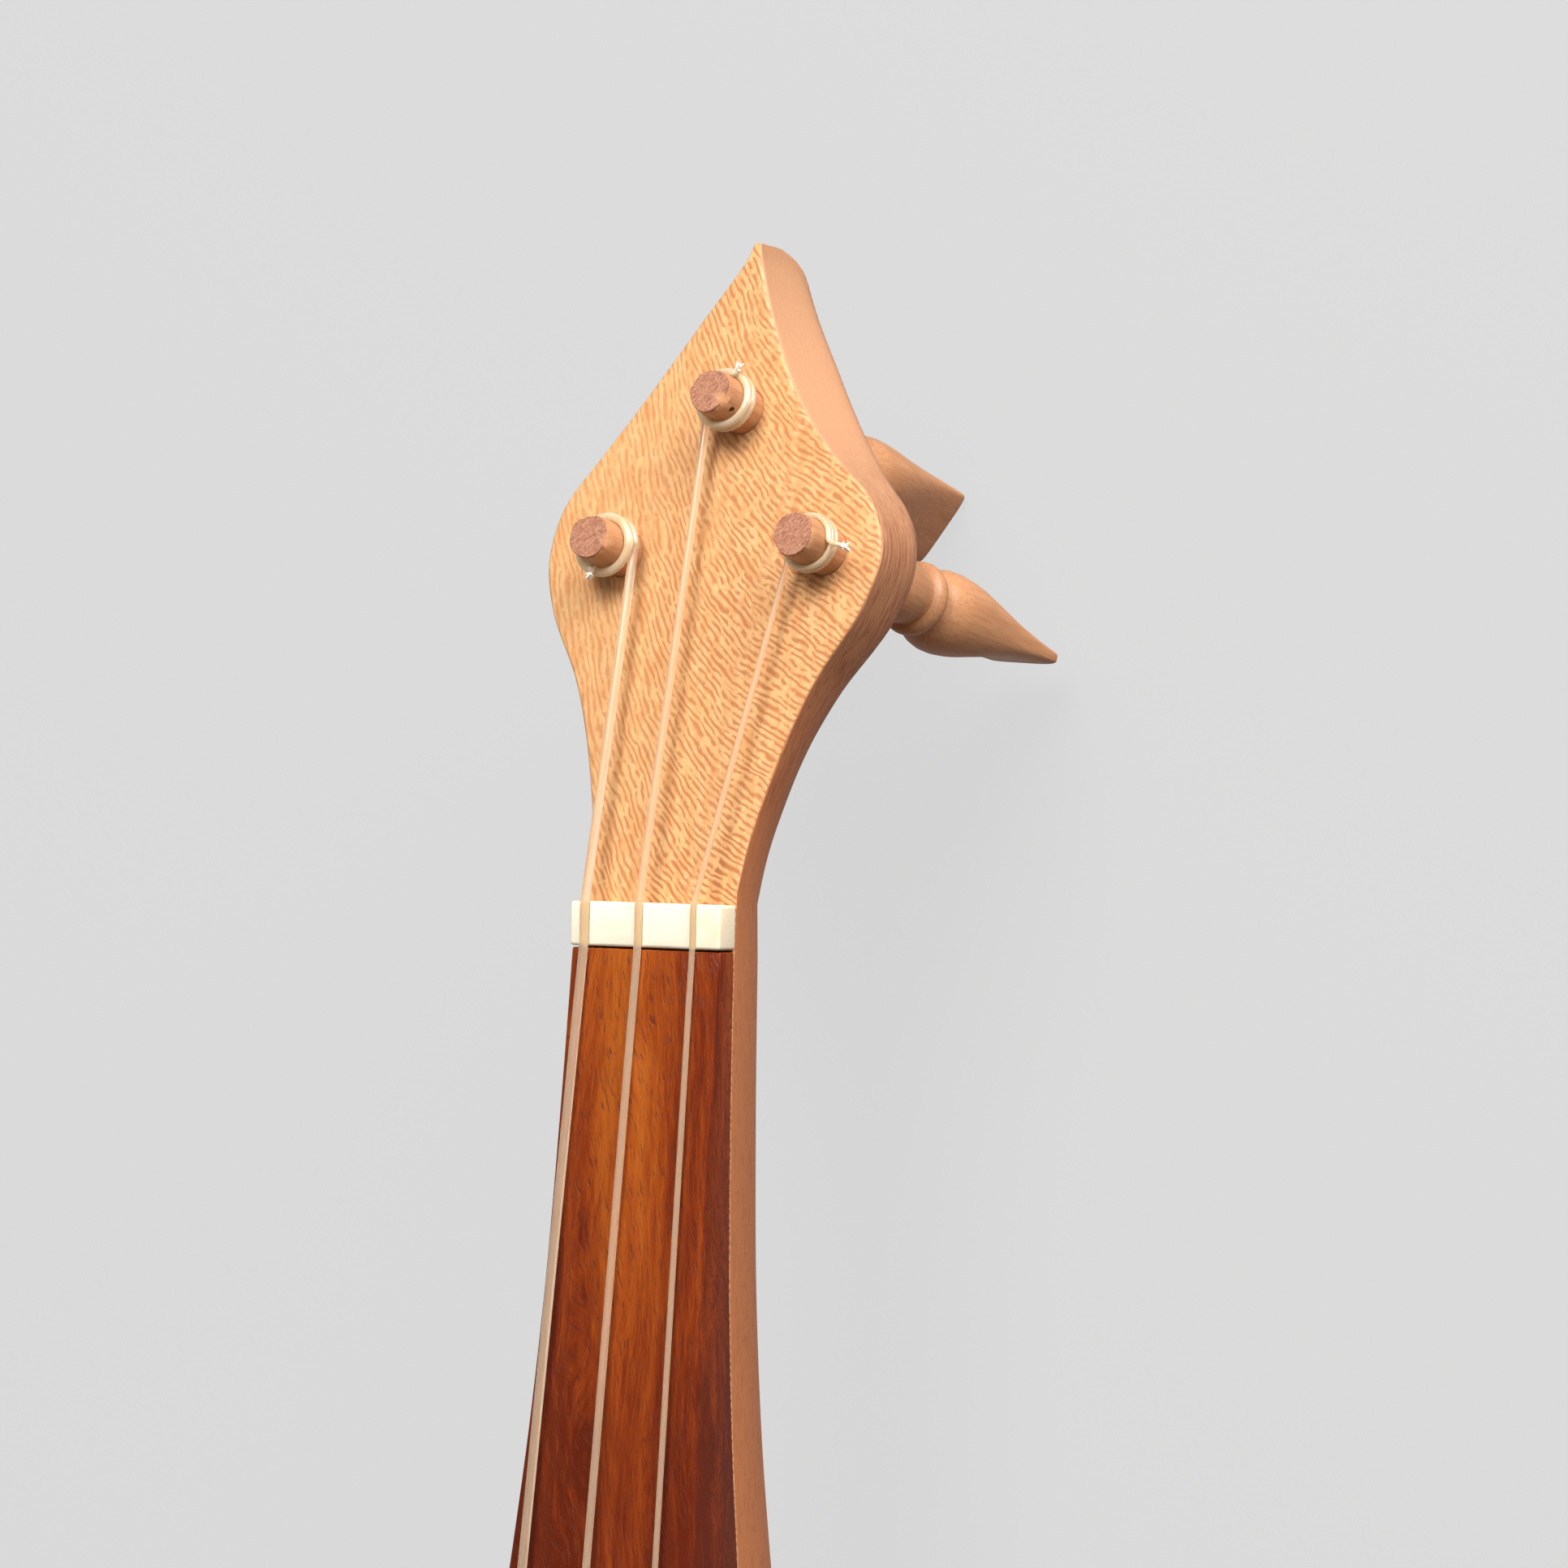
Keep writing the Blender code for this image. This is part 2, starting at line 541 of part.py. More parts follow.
def build_string(name, mats, col):
    """One string from its peg over nut and bridge and down through the tailpiece."""
    nut_x, bridge_x, bridge_z, size = STRINGS[name]
    side = {"left": 1, "middle": -1, "right": -1}[name]
    outer = wind_outer(name)
    offset = outer - size / 2
    drop = math.sqrt((outer + GAP) ** 2 - (offset - size / 2) ** 2) + 0.3
    start = peg_frame(name) @ Vector((side * offset, -drop, 3.6))
    nut_z = NUT_TOP - 0.2 + size / 2
    hole = tailpiece_frame() @ Vector((bridge_x * TAIL_HOLE_SPREAD, -TAIL_HOLE_BACK, 0))
    up = tailpiece_frame().to_3x3() @ Vector((0, 0, 1))
    bend = Vector((0, 2.0, 0.35))
    points = [start, Vector((nut_x, 3.0, nut_z)), Vector((nut_x, -3.0, nut_z)),
              Vector((string_x(name, BRIDGE_Y + 1.2), BRIDGE_Y + 1.2,
                      string_height(name, BRIDGE_Y + 1.2))),
              Vector((bridge_x, BRIDGE_Y - 1.2, bridge_z + size / 2 - 0.15)),
              hole + up * (size / 2 + 0.6) + bend, hole + up * 0.2, hole - up * 5.0]
    wire("string_" + name, points, size / 2, mats["gut"], col)
    knot = bmesh.new()
    bmesh.ops.create_icosphere(knot, subdivisions=1, radius=size / 2 + 1.0)
    bmesh.ops.transform(knot, matrix=Matrix.Translation(hole - up * (6.4 + size / 2)),
                        verts=knot.verts[:])
    add_mesh("knot_" + name, knot, mats["gut"], col)


def seat(col, cutters):
    """Move everything so the box's foot is centred on the origin."""
    bpy.context.view_layer.update()
    graph = bpy.context.evaluated_depsgraph_get()
    low, high = np.full(3, np.inf), np.full(3, -np.inf)
    for obj in col.objects:
        shape = obj.evaluated_get(graph)
        mesh = shape.to_mesh()
        points = np.array([obj.matrix_world @ v.co for v in mesh.vertices])
        low, high = np.minimum(low, points.min(0)), np.maximum(high, points.max(0))
        shape.to_mesh_clear()
    shift = Vector((-(low[0] + high[0]) / 2, -(low[1] + high[1]) / 2, -low[2]))
    for obj in list(col.objects) + list(cutters.objects):
        obj.location += shift
    print("SHIFT_MM", [round(v * 1000, 4) for v in shift])
    print("SIZE_MM", [round(v * 1000, 3) for v in high - low])
    for name in PEGS:
        frame = peg_frame(name)
        print("PEG", name, [round(v, 6) for v in frame.translation * MM + shift],
              [round(v, 6) for v in frame.to_3x3() @ Vector((0, 0, 1))])


def main():
    """Build the whole instrument."""
    for obj in list(bpy.data.objects):
        bpy.data.objects.remove(obj, do_unlink=True)
    col, cutters = collection("rebec"), collection("cutters")
    mats = {
        "lacewood": material("lacewood", (0.72, 0.42, 0.20), 0.42),
        "spruce": material("spruce", (0.80, 0.58, 0.32), 0.45),
        "rosewood": material("rosewood", (0.22, 0.06, 0.02), 0.28),
        "bone": material("bone", (0.93, 0.88, 0.74), 0.30),
        "maple": material("maple", (0.66, 0.42, 0.22), 0.45),
        "pear": material("pearwood", (0.58, 0.32, 0.17), 0.45),
        "gut": material("gut", (0.83, 0.76, 0.62), 0.30),
    }
    build_body(mats, col, cutters)
    build_soundboard(mats, col, cutters)
    build_inside(mats, col)
    build_fingerboard(mats, col)
    build_nut(mats, col, cutters)
    build_bridge(mats, col, cutters)
    build_tailpiece(mats, col, cutters)
    build_tail_end(mats, col, cutters)
    for name in PEGS:
        build_peg(name, mats, col)
        build_winding(name, mats, col)
        build_string(name, mats, col)
    for obj in cutters.objects:
        obj.hide_render = True
        obj.display_type = "WIRE"
    seat(col, cutters)


main()
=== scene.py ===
"""Looks of a three-string rebec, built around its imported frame.

The working frame is in millimetres: y = 0 is the middle of the nut, z = 0 is the top of the
soundboard, X runs across and +Y toward the head.  `Datum` turns it into the row frame.
"""
import logging
import math
import random
from dataclasses import dataclass, field
from enum import Enum
from typing import Any, Iterable, Optional, Sequence, Union

import bpy
import numpy as np
from mathutils import Matrix, Vector


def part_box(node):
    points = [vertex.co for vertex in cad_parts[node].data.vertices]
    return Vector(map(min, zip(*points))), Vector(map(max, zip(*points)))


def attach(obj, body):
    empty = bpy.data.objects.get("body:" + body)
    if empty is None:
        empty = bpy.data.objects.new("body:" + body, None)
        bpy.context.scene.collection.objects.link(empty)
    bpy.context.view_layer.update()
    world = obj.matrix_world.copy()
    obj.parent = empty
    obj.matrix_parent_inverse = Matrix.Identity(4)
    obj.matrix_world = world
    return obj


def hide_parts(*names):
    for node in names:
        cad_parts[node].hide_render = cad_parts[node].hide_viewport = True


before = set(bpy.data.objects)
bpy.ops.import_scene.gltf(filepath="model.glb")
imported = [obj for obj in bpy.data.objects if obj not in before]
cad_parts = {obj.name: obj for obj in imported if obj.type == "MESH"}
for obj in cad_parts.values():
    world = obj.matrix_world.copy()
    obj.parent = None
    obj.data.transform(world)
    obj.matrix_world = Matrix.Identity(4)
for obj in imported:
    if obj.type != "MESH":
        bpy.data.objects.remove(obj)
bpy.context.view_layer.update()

LOG = logging.getLogger("rebec")
MM = 0.001
Table = tuple[tuple[float, float], ...]
Colour = tuple[float, float, float]


# ---- working frame ---------------------------------------------------------------------
@dataclass(frozen=True)
class Datum:
    """Where the working frame lies in the row frame, and the tilt of the head on it."""

    origin: Vector
    head_tilt: float = math.radians(11.9)
    head_start: float = 3.5

    @classmethod
    def read(cls) -> "Datum":
        """Find the working frame from the nut's middle and the soundboard's top."""
        low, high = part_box("nut")
        return cls(Vector(((low.x + high.x) / 2, (low.y + high.y) / 2,
                           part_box("soundboard")[1].z)))

    def at(self, x: float, y: float, z: float) -> Vector:
        """Point of the working frame, in metres of the row frame."""
        return self.origin + Vector((x, y, z)) * MM

    def head_mm(self, x: float, along: float, up: float) -> Vector:
        """Point on or above the tilted head face, in working millimetres."""
        cos, sin = math.cos(self.head_tilt), math.sin(self.head_tilt)
        return Vector((x, self.head_start + along * cos + up * sin, up * cos - along * sin))

    def head(self, x: float, along: float, up: float) -> Vector:
        """Point on or above the tilted head face, in metres of the row frame."""
        return self.at(*self.head_mm(x, along, up))


def smooth(points: Table, at: float) -> float:
    """Read a smooth curve through (position, value) pairs.

    Args:
        points: The pairs, in rising order of position.
        at: Where to read the curve.

    Returns:
        The value there.
    """
    xs = np.array([p[0] for p in points], float)
    ys = np.array([p[1] for p in points], float)
    slopes = np.gradient(ys, xs)
    i = int(np.clip(np.searchsorted(xs, at) - 1, 0, len(xs) - 2))
    h = xs[i + 1] - xs[i]
    t = float(np.clip((at - xs[i]) / h, 0, 1))
    return float((2 * t**3 - 3 * t**2 + 1) * ys[i] + (t**3 - 2 * t**2 + t) * h * slopes[i]
                 + (3 * t**2 - 2 * t**3) * ys[i + 1] + (t**3 - t**2) * h * slopes[i + 1])


# ---- bench work: making and joining meshes ---------------------------------------------
def put_down() -> None:
    """Leave edit mode with nothing selected."""
    if bpy.context.object and bpy.context.object.mode != "OBJECT":
        bpy.ops.object.mode_set(mode="OBJECT")
    bpy.ops.object.select_all(action="DESELECT")


def take_up(piece: bpy.types.Object) -> bpy.types.Object:
    """Make one piece the only selected and active object."""
    put_down()
    piece.select_set(True)
    bpy.context.view_layer.objects.active = piece
    return piece


def christen(name: str) -> bpy.types.Object:
    """Name the primitive that was just added."""
    piece = bpy.context.object
    piece.name = piece.data.name = name
    return piece


def make_sound(piece: bpy.types.Object, fill: bool = True) -> bpy.types.Object:
    """Merge doubled corners, close open ends and turn every face outward."""
    take_up(piece)
    bpy.ops.object.mode_set(mode="EDIT")
    bpy.ops.mesh.select_mode(type="VERT")
    bpy.ops.mesh.select_all(action="SELECT")
    bpy.ops.mesh.remove_doubles(threshold=2e-6)
    bpy.ops.mesh.dissolve_degenerate(threshold=1e-7)
    if fill:
        bpy.ops.mesh.select_all(action="SELECT")
        bpy.ops.mesh.fill_holes(sides=0)
    bpy.ops.mesh.select_all(action="SELECT")
    bpy.ops.mesh.normals_make_consistent(inside=False)
    bpy.ops.object.mode_set(mode="OBJECT")
    return piece


def settle(piece: bpy.types.Object) -> bpy.types.Object:
    """Put the piece's place into its mesh, with its own origin on the row's."""
    take_up(piece)
    bpy.ops.object.transform_apply(location=True, rotation=True, scale=True)
    return piece


def loft(name: str, rings: Sequence[Sequence[Vector]], closed: bool = True,
         fill: bool = True) -> bpy.types.Object:
    """Skin laid over a row of rings.

    Args:
        name: The piece's name.
        rings: Rings of equal count, in metres.
        closed: True where each ring's last point joins its first.
        fill: True to close the open ends.

    Returns:
        The new piece.
    """
    rows = [list(ring) + [ring[0]] if closed else list(ring) for ring in rings]
    put_down()
    bpy.ops.mesh.primitive_grid_add(x_subdivisions=len(rows[0]) - 1,
                                    y_subdivisions=len(rows) - 1, size=1.0)
    piece = christen(name)
    across, along = len(rows[0]) - 1, len(rows) - 1
    for corner in piece.data.vertices:
        i = round((corner.co.x + 0.5) * across)
        j = round((corner.co.y + 0.5) * along)
        corner.co = rows[j][i]
    return make_sound(piece, fill)


def finish_modifiers(piece: bpy.types.Object) -> bpy.types.Object:
    """Apply every modifier on a piece, in order."""
    take_up(piece)
    for modifier in list(piece.modifiers):
        bpy.ops.object.modifier_apply(modifier=modifier.name)
    return piece


def cut(piece: bpy.types.Object, tools: Iterable[bpy.types.Object]) -> bpy.types.Object:
    """Cut a piece with each tool in turn, then clear the tools away."""
    for tool in tools:
        knife = piece.modifiers.new("cut", "BOOLEAN")
        knife.operation = "DIFFERENCE"
        knife.solver = "EXACT"
        knife.object = tool
        finish_modifiers(piece)
        bpy.data.objects.remove(tool, do_unlink=True)
    return piece


def ease(piece: bpy.types.Object, width: float, segments: int = 3,
         angle: float = 35.0) -> bpy.types.Object:
    """Round a piece's sharp edges over.

    Args:
        piece: The piece.
        width: Width of the rounding, in millimetres.
        segments: Steps across it.
        angle: Edges sharper than this many degrees are rounded.

    Returns:
        The piece.
    """
    plane = piece.modifiers.new("ease", "BEVEL")
    plane.width = width * MM
    plane.segments = segments
    plane.limit_method = "ANGLE"
    plane.angle_limit = math.radians(angle)
    plane.harden_normals = False
    return finish_modifiers(piece)


def polish(piece: bpy.types.Object, angle: float = 35.0,
           flat_faces: bool = False) -> bpy.types.Object:
    """Shade a piece smooth except over edges sharper than `angle` degrees.

    Args:
        piece: The piece.
        angle: The angle.
        flat_faces: Keep the shading of large flat faces even up to their eased edges.

    Returns:
        The piece.
    """
    take_up(piece)
    bpy.ops.object.shade_smooth_by_angle(angle=math.radians(angle))
    if flat_faces:
        weigh = piece.modifiers.new("weigh", "WEIGHTED_NORMAL")
        weigh.keep_sharp = True
        finish_modifiers(piece)
    return piece


def block(name: str, low: Vector, high: Vector) -> bpy.types.Object:
    """Box between two corners given in metres."""
    put_down()
    bpy.ops.mesh.primitive_cube_add(size=1.0, location=(low + high) / 2)
    piece = christen(name)
    piece.scale = high - low
    return settle(piece)


def rod(name: str, start: Vector, end: Vector, radius: float, end_radius: float = 0.0,
        sides: int = 40) -> bpy.types.Object:
    """Straight or tapered round bar between two points, all in metres.

    Args:
        name: The piece's name.
        start: Middle of one end.
        end: Middle of the other end.
        radius: Radius at the start.
        end_radius: Radius at the end, or 0 for the same.
        sides: Faces round it.

    Returns:
        The bar.
    """
    put_down()
    bpy.ops.mesh.primitive_cone_add(vertices=sides, radius1=radius,
                                    radius2=end_radius or radius,
                                    depth=(end - start).length, location=(start + end) / 2)
    piece = christen(name)
    piece.rotation_mode = "QUATERNION"
    piece.rotation_quaternion = (end - start).to_track_quat("Z", "Y")
    return settle(piece)


def turned(name: str, profile: Table, place: Matrix, sides: int = 48) -> bpy.types.Object:
    """Turned piece, drawn out ring by ring from a disc.

    Args:
        name: The piece's name.
        profile: (radius, height) pairs in millimetres along the axis.
        place: Frame of the axis, in metres, its z along the axis.
        sides: Faces round it.

    Returns:
        The turned piece.
    """
    radius, height = profile[0]
    put_down()
    bpy.ops.mesh.primitive_circle_add(vertices=sides, radius=radius, location=(0, 0, height),
                                      fill_type="NGON")
    piece = christen(name)
    settle(piece)
    take_up(piece)
    bpy.ops.object.mode_set(mode="EDIT")
    bpy.ops.mesh.select_all(action="SELECT")
    for wide, up in profile[1:]:
        bpy.ops.mesh.extrude_region_move(
            TRANSFORM_OT_translate={"value": (0, 0, up - height)})
        size = wide / radius
        bpy.ops.transform.resize(value=(size, size, 1), center_override=(0, 0, up))
        radius, height = wide, up
    bpy.ops.object.mode_set(mode="OBJECT")
    piece.data.transform(place @ Matrix.Scale(MM, 4))
    return make_sound(piece)


def sawn(name: str, outlines: Sequence[Table], thick: float, edge: float,
         place: Matrix) -> bpy.types.Object:
    """Flat piece sawn to an outline, its edges eased, its middle plane on `place`.

    Args:
        name: The piece's name.
        outlines: The rim, then the rims of any holes, in millimetres.
        thick: Thickness in millimetres.
        edge: Width of the eased edge in millimetres.
        place: Frame of the middle plane, in metres.

    Returns:
        The piece, as a mesh.
    """
    curve = bpy.data.curves.new(name, "CURVE")
    curve.dimensions = "2D"
    curve.fill_mode = "BOTH"
    curve.extrude = thick * MM / 2 - edge * MM
    curve.bevel_depth = edge * MM
    curve.bevel_resolution = 2
    curve.offset = -edge * MM
    for outline in outlines:
        line = curve.splines.new("POLY")
        line.points.add(len(outline) - 1)
        for knot, (u, v) in zip(line.points, outline):
            knot.co = (u * MM, v * MM, 0, 1)
        line.use_cyclic_u = True
    piece = bpy.data.objects.new(name, curve)
    bpy.context.scene.collection.objects.link(piece)
    take_up(piece)
    bpy.ops.object.convert(target="MESH")
    piece = christen(name)
    piece.data.transform(place)
    return make_sound(piece, fill=False)


def tube(name: str, path: Sequence[Vector], radii: Union[float, Sequence[float]],
         sides: int = 14) -> bpy.types.Object:
    """Round cord along a path, with round ends.

    Args:
        name: The piece's name.
        path: Points of its middle line, in metres.
        radii: Its radius in metres, or one radius for each point.
        sides: Faces round it.

    Returns:
        The cord.
    """
    points = [Vector(p) for p in path]
    sizes = [radii] * len(points) if isinstance(radii, float) else list(radii)
    start, end = sizes[0], sizes[-1]
    first = (points[0] - points[1]).normalized()
    last = (points[-1] - points[-2]).normalized()
    bulge = ((1.0, 0.08), (0.8, 0.6), (0.45, 0.9))
    points = ([points[0] + first * start * (1 - s) * 0.6 for s, _ in bulge[::-1]] + points
              + [points[-1] + last * end * (1 - s) * 0.6 for s, _ in bulge])
    sizes = ([start * s for s, _ in bulge[::-1]] + sizes + [end * s for s, _ in bulge])
    rings: list[list[Vector]] = []
    side: Optional[Vector] = None
    for i, point in enumerate(points):
        ahead = points[min(i + 1, len(points) - 1)] - points[max(i - 1, 0)]
        ahead.normalize()
        if side is None:
            side = ahead.orthogonal().normalized()
        side = (side - ahead * side.dot(ahead)).normalized()
        other = ahead.cross(side)
        rings.append([point + (side * math.cos(a) + other * math.sin(a)) * sizes[i]
                      for a in (2 * math.pi * k / sides for k in range(sides))])
    return loft(name, rings)


def rounded_path(corners: Sequence[Vector], radius: float, steps: int = 8) -> list[Vector]:
    """Line through corners whose bends are rounded.

    Args:
        corners: The corners, in metres.
        radius: How far from a corner its bend begins, in metres.
        steps: Points in each bend.

    Returns:
        The points of the rounded line.
    """
    path = [corners[0]]
    for before, corner, after in zip(corners, corners[1:], corners[2:]):
        reach_in = min(radius, (corner - before).length * 0.45)
        reach_out = min(radius, (after - corner).length * 0.45)
        a = corner + (before - corner).normalized() * reach_in
        b = corner + (after - corner).normalized() * reach_out
        for k in range(steps + 1):
            t = k / steps
            path.append(a * (1 - t) ** 2 + corner * 2 * t * (1 - t) + b * t * t)
    return path + [corners[-1]]


def rounded_outline(points: Sequence[tuple[float, float, bool]],
                    steps: int = 6) -> list[tuple[float, float]]:
    """Closed outline that passes smoothly through its points, except at sharp ones.

    Args:
        points: (u, v, sharp) for each point.
        steps: Points between two given ones.

    Returns:
        The denser outline.
    """
    flat = [Vector((u, v)) for u, v, _ in points]
    count = len(flat)
    made: list[tuple[float, float]] = []
    for i in range(count):
        before, a, b, after = (flat[(i + k) % count] for k in (-1, 0, 1, 2))
        go_in = (b - a) * 0.5 if points[i][2] else (b - before) * 0.5
        go_out = (b - a) * 0.5 if points[(i + 1) % count][2] else (after - a) * 0.5
        for k in range(steps):
            t = k / steps
            spot = (a * (2 * t**3 - 3 * t**2 + 1) + go_in * (t**3 - 2 * t**2 + t)
                    + b * (3 * t**2 - 2 * t**3) + go_out * (t**3 - t**2))
            made.append((spot.x, spot.y))
    return made


def join(name: str, pieces: Sequence[bpy.types.Object]) -> bpy.types.Object:
    """Make several meshes one piece."""
    put_down()
    for piece in pieces:
        piece.select_set(True)
    bpy.context.view_layer.objects.active = pieces[0]
    if len(pieces) > 1:
        bpy.ops.object.join()
    return christen(name)


# ---- shader graphs ---------------------------------------------------------------------
class Socket:
    """An output socket whose maths is written as Python expressions."""

    def __init__(self, graph: "Graph", out: bpy.types.NodeSocket) -> None:
        """Wrap one output of a node in a graph."""
        self.graph, self.out = graph, out

    def _math(self, operation: str, *values: "Value") -> "Socket":
        """Add one Math node."""
        return self.graph.node("ShaderNodeMath", {"operation": operation},
                               dict(enumerate(values)))

    def __add__(self, other: "Value") -> "Socket":
        """Sum."""
        return self._math("ADD", self, other)

    def __sub__(self, other: "Value") -> "Socket":
        """Difference."""
        return self._math("SUBTRACT", self, other)

    def __rsub__(self, other: "Value") -> "Socket":
        """Difference from a number."""
        return self._math("SUBTRACT", other, self)

    def __mul__(self, other: "Value") -> "Socket":
        """Product."""
        return self._math("MULTIPLY", self, other)

    def __pow__(self, other: "Value") -> "Socket":
        """Power."""
        return self._math("POWER", self, other)

    def __abs__(self) -> "Socket":
        """Size without sign."""
        return self._math("ABSOLUTE", self)

    __radd__, __rmul__ = __add__, __mul__

    def most(self, other: "Value") -> "Socket":
        """Larger of the two."""
        return self._math("MAXIMUM", self, other)

    def least(self, other: "Value") -> "Socket":
        """Smaller of the two."""
        return self._math("MINIMUM", self, other)

    def sine(self) -> "Socket":
        """Sine of a value in radians."""
        return self._math("SINE", self)

    def between(self, low: float, high: float) -> "Socket":
        """Smooth step from 0 at `low` to 1 at `high`; `low` may be the larger."""
        flip = low > high
        return self.graph.node(
            "ShaderNodeMapRange", {"interpolation_type": "SMOOTHSTEP", "clamp": True},
            {"Value": self, "From Min": min(low, high), "From Max": max(low, high),
             "To Min": float(flip), "To Max": float(not flip)})


Value = Union[float, int, Socket]


class Graph:
    """A material's node tree, with the few node recipes that the finishes share."""

    def __init__(self, name: str) -> None:
        """Start an empty material."""
        self.material = bpy.data.materials.new(name)
        self.material.use_nodes = True
        self.tree = self.material.node_tree
        self.tree.nodes.clear()

    def node(self, kind: str, settings: Optional[dict[str, Any]] = None,
             inputs: Optional[dict[Any, Any]] = None, output: Any = 0) -> Socket:
        """Add a node.

        Args:
            kind: The node's type.
            settings: Its properties, or "stops" for a ramp, set before its sockets.
            inputs: Values or sockets for its inputs, by name or number.
            output: Which output to hand back.

        Returns:
            The chosen output.
        """
        made = self.tree.nodes.new(kind)
        for key, value in (settings or {}).items():
            if key == "stops":
                ramp = made.color_ramp
                while len(ramp.elements) < len(value):
                    ramp.elements.new(1.0)
                for element, (place, colour) in zip(ramp.elements, value):
                    element.position, element.color = place, (*colour, 1.0)
            else:
                setattr(made, key, value)
        for key, value in (inputs or {}).items():
            if isinstance(value, Socket):
                self.tree.links.new(value.out, made.inputs[key])
            elif value is not None:
                made.inputs[key].default_value = value
        return Socket(self, made.outputs[output] if made.outputs else None)

    def point(self) -> Socket:
        """Place on the piece, in millimetres."""
        spot = self.node("ShaderNodeTexCoord", output="Object")
        return self.vector("SCALE", spot, scale=1 / MM)

    def vector(self, operation: str, a: Any, b: Any = None,
               scale: Optional[float] = None) -> Socket:
        """Vector Math of one or two vectors."""
        return self.node("ShaderNodeVectorMath", {"operation": operation},
                         {0: a, 1: b, "Scale": scale})

    def split(self, vector: Socket) -> tuple[Socket, Socket, Socket]:
        """The three parts of a vector."""
        made = self.node("ShaderNodeSeparateXYZ", inputs={0: vector})
        parts = made.out.node.outputs
        return Socket(self, parts[0]), Socket(self, parts[1]), Socket(self, parts[2])

    def combine(self, x: Value, y: Value, z: Value) -> Socket:
        """Vector from three values."""
        return self.node("ShaderNodeCombineXYZ", inputs={0: x, 1: y, 2: z})

    def noise(self, vector: Socket, scale: float, detail: float = 2.0,
              rough: float = 0.5) -> Socket:
        """Noise value, 0 to 1, with `scale` features to the unit."""
        return self.node("ShaderNodeTexNoise", inputs={
            "Vector": vector, "Scale": scale, "Detail": detail, "Roughness": rough})

    def stretch(self, vector: Socket, x: float, y: float, z: float) -> Socket:
        """Vector with each part multiplied."""
        return self.vector("MULTIPLY", vector, (x, y, z))

    def blend(self, share: Value, a: Any, b: Any) -> Socket:
        """Colour `a` going to `b` by `share`."""
        colours = {6: (*a, 1.0) if isinstance(a, tuple) else a,
                   7: (*b, 1.0) if isinstance(b, tuple) else b}
        return self.node("ShaderNodeMix", {"data_type": "RGBA", "blend_type": "MIX"},
                         {0: share, **colours}, output=2)

    def bump(self, height: Socket, depth: float) -> Socket:
        """Normal that follows a height, `depth` in millimetres."""
        return self.node("ShaderNodeBump", inputs={
            "Height": height, "Distance": depth * MM, "Strength": 1.0})

    def surface(self, sockets: dict[str, Any]) -> bpy.types.Material:
        """Close the graph with a Principled shader that has these inputs."""
        shader = self.node("ShaderNodeBsdfPrincipled", inputs=sockets)
        self.node("ShaderNodeOutputMaterial", inputs={0: shader})
        return self.material


# ---- finishes --------------------------------------------------------------------------
class Grain(Enum):
    """Which way a board's grain runs on a piece."""

    ALONG = "along"      # with Y
    ACROSS = "across"    # with X
    UPRIGHT = "upright"  # with Z


@dataclass(frozen=True)
class FleckBand:
    """One direction of the figure: its angle from the length, and where across it lives."""

    angle: float
    middle: float
    spread: float
    wide: float = 1.25


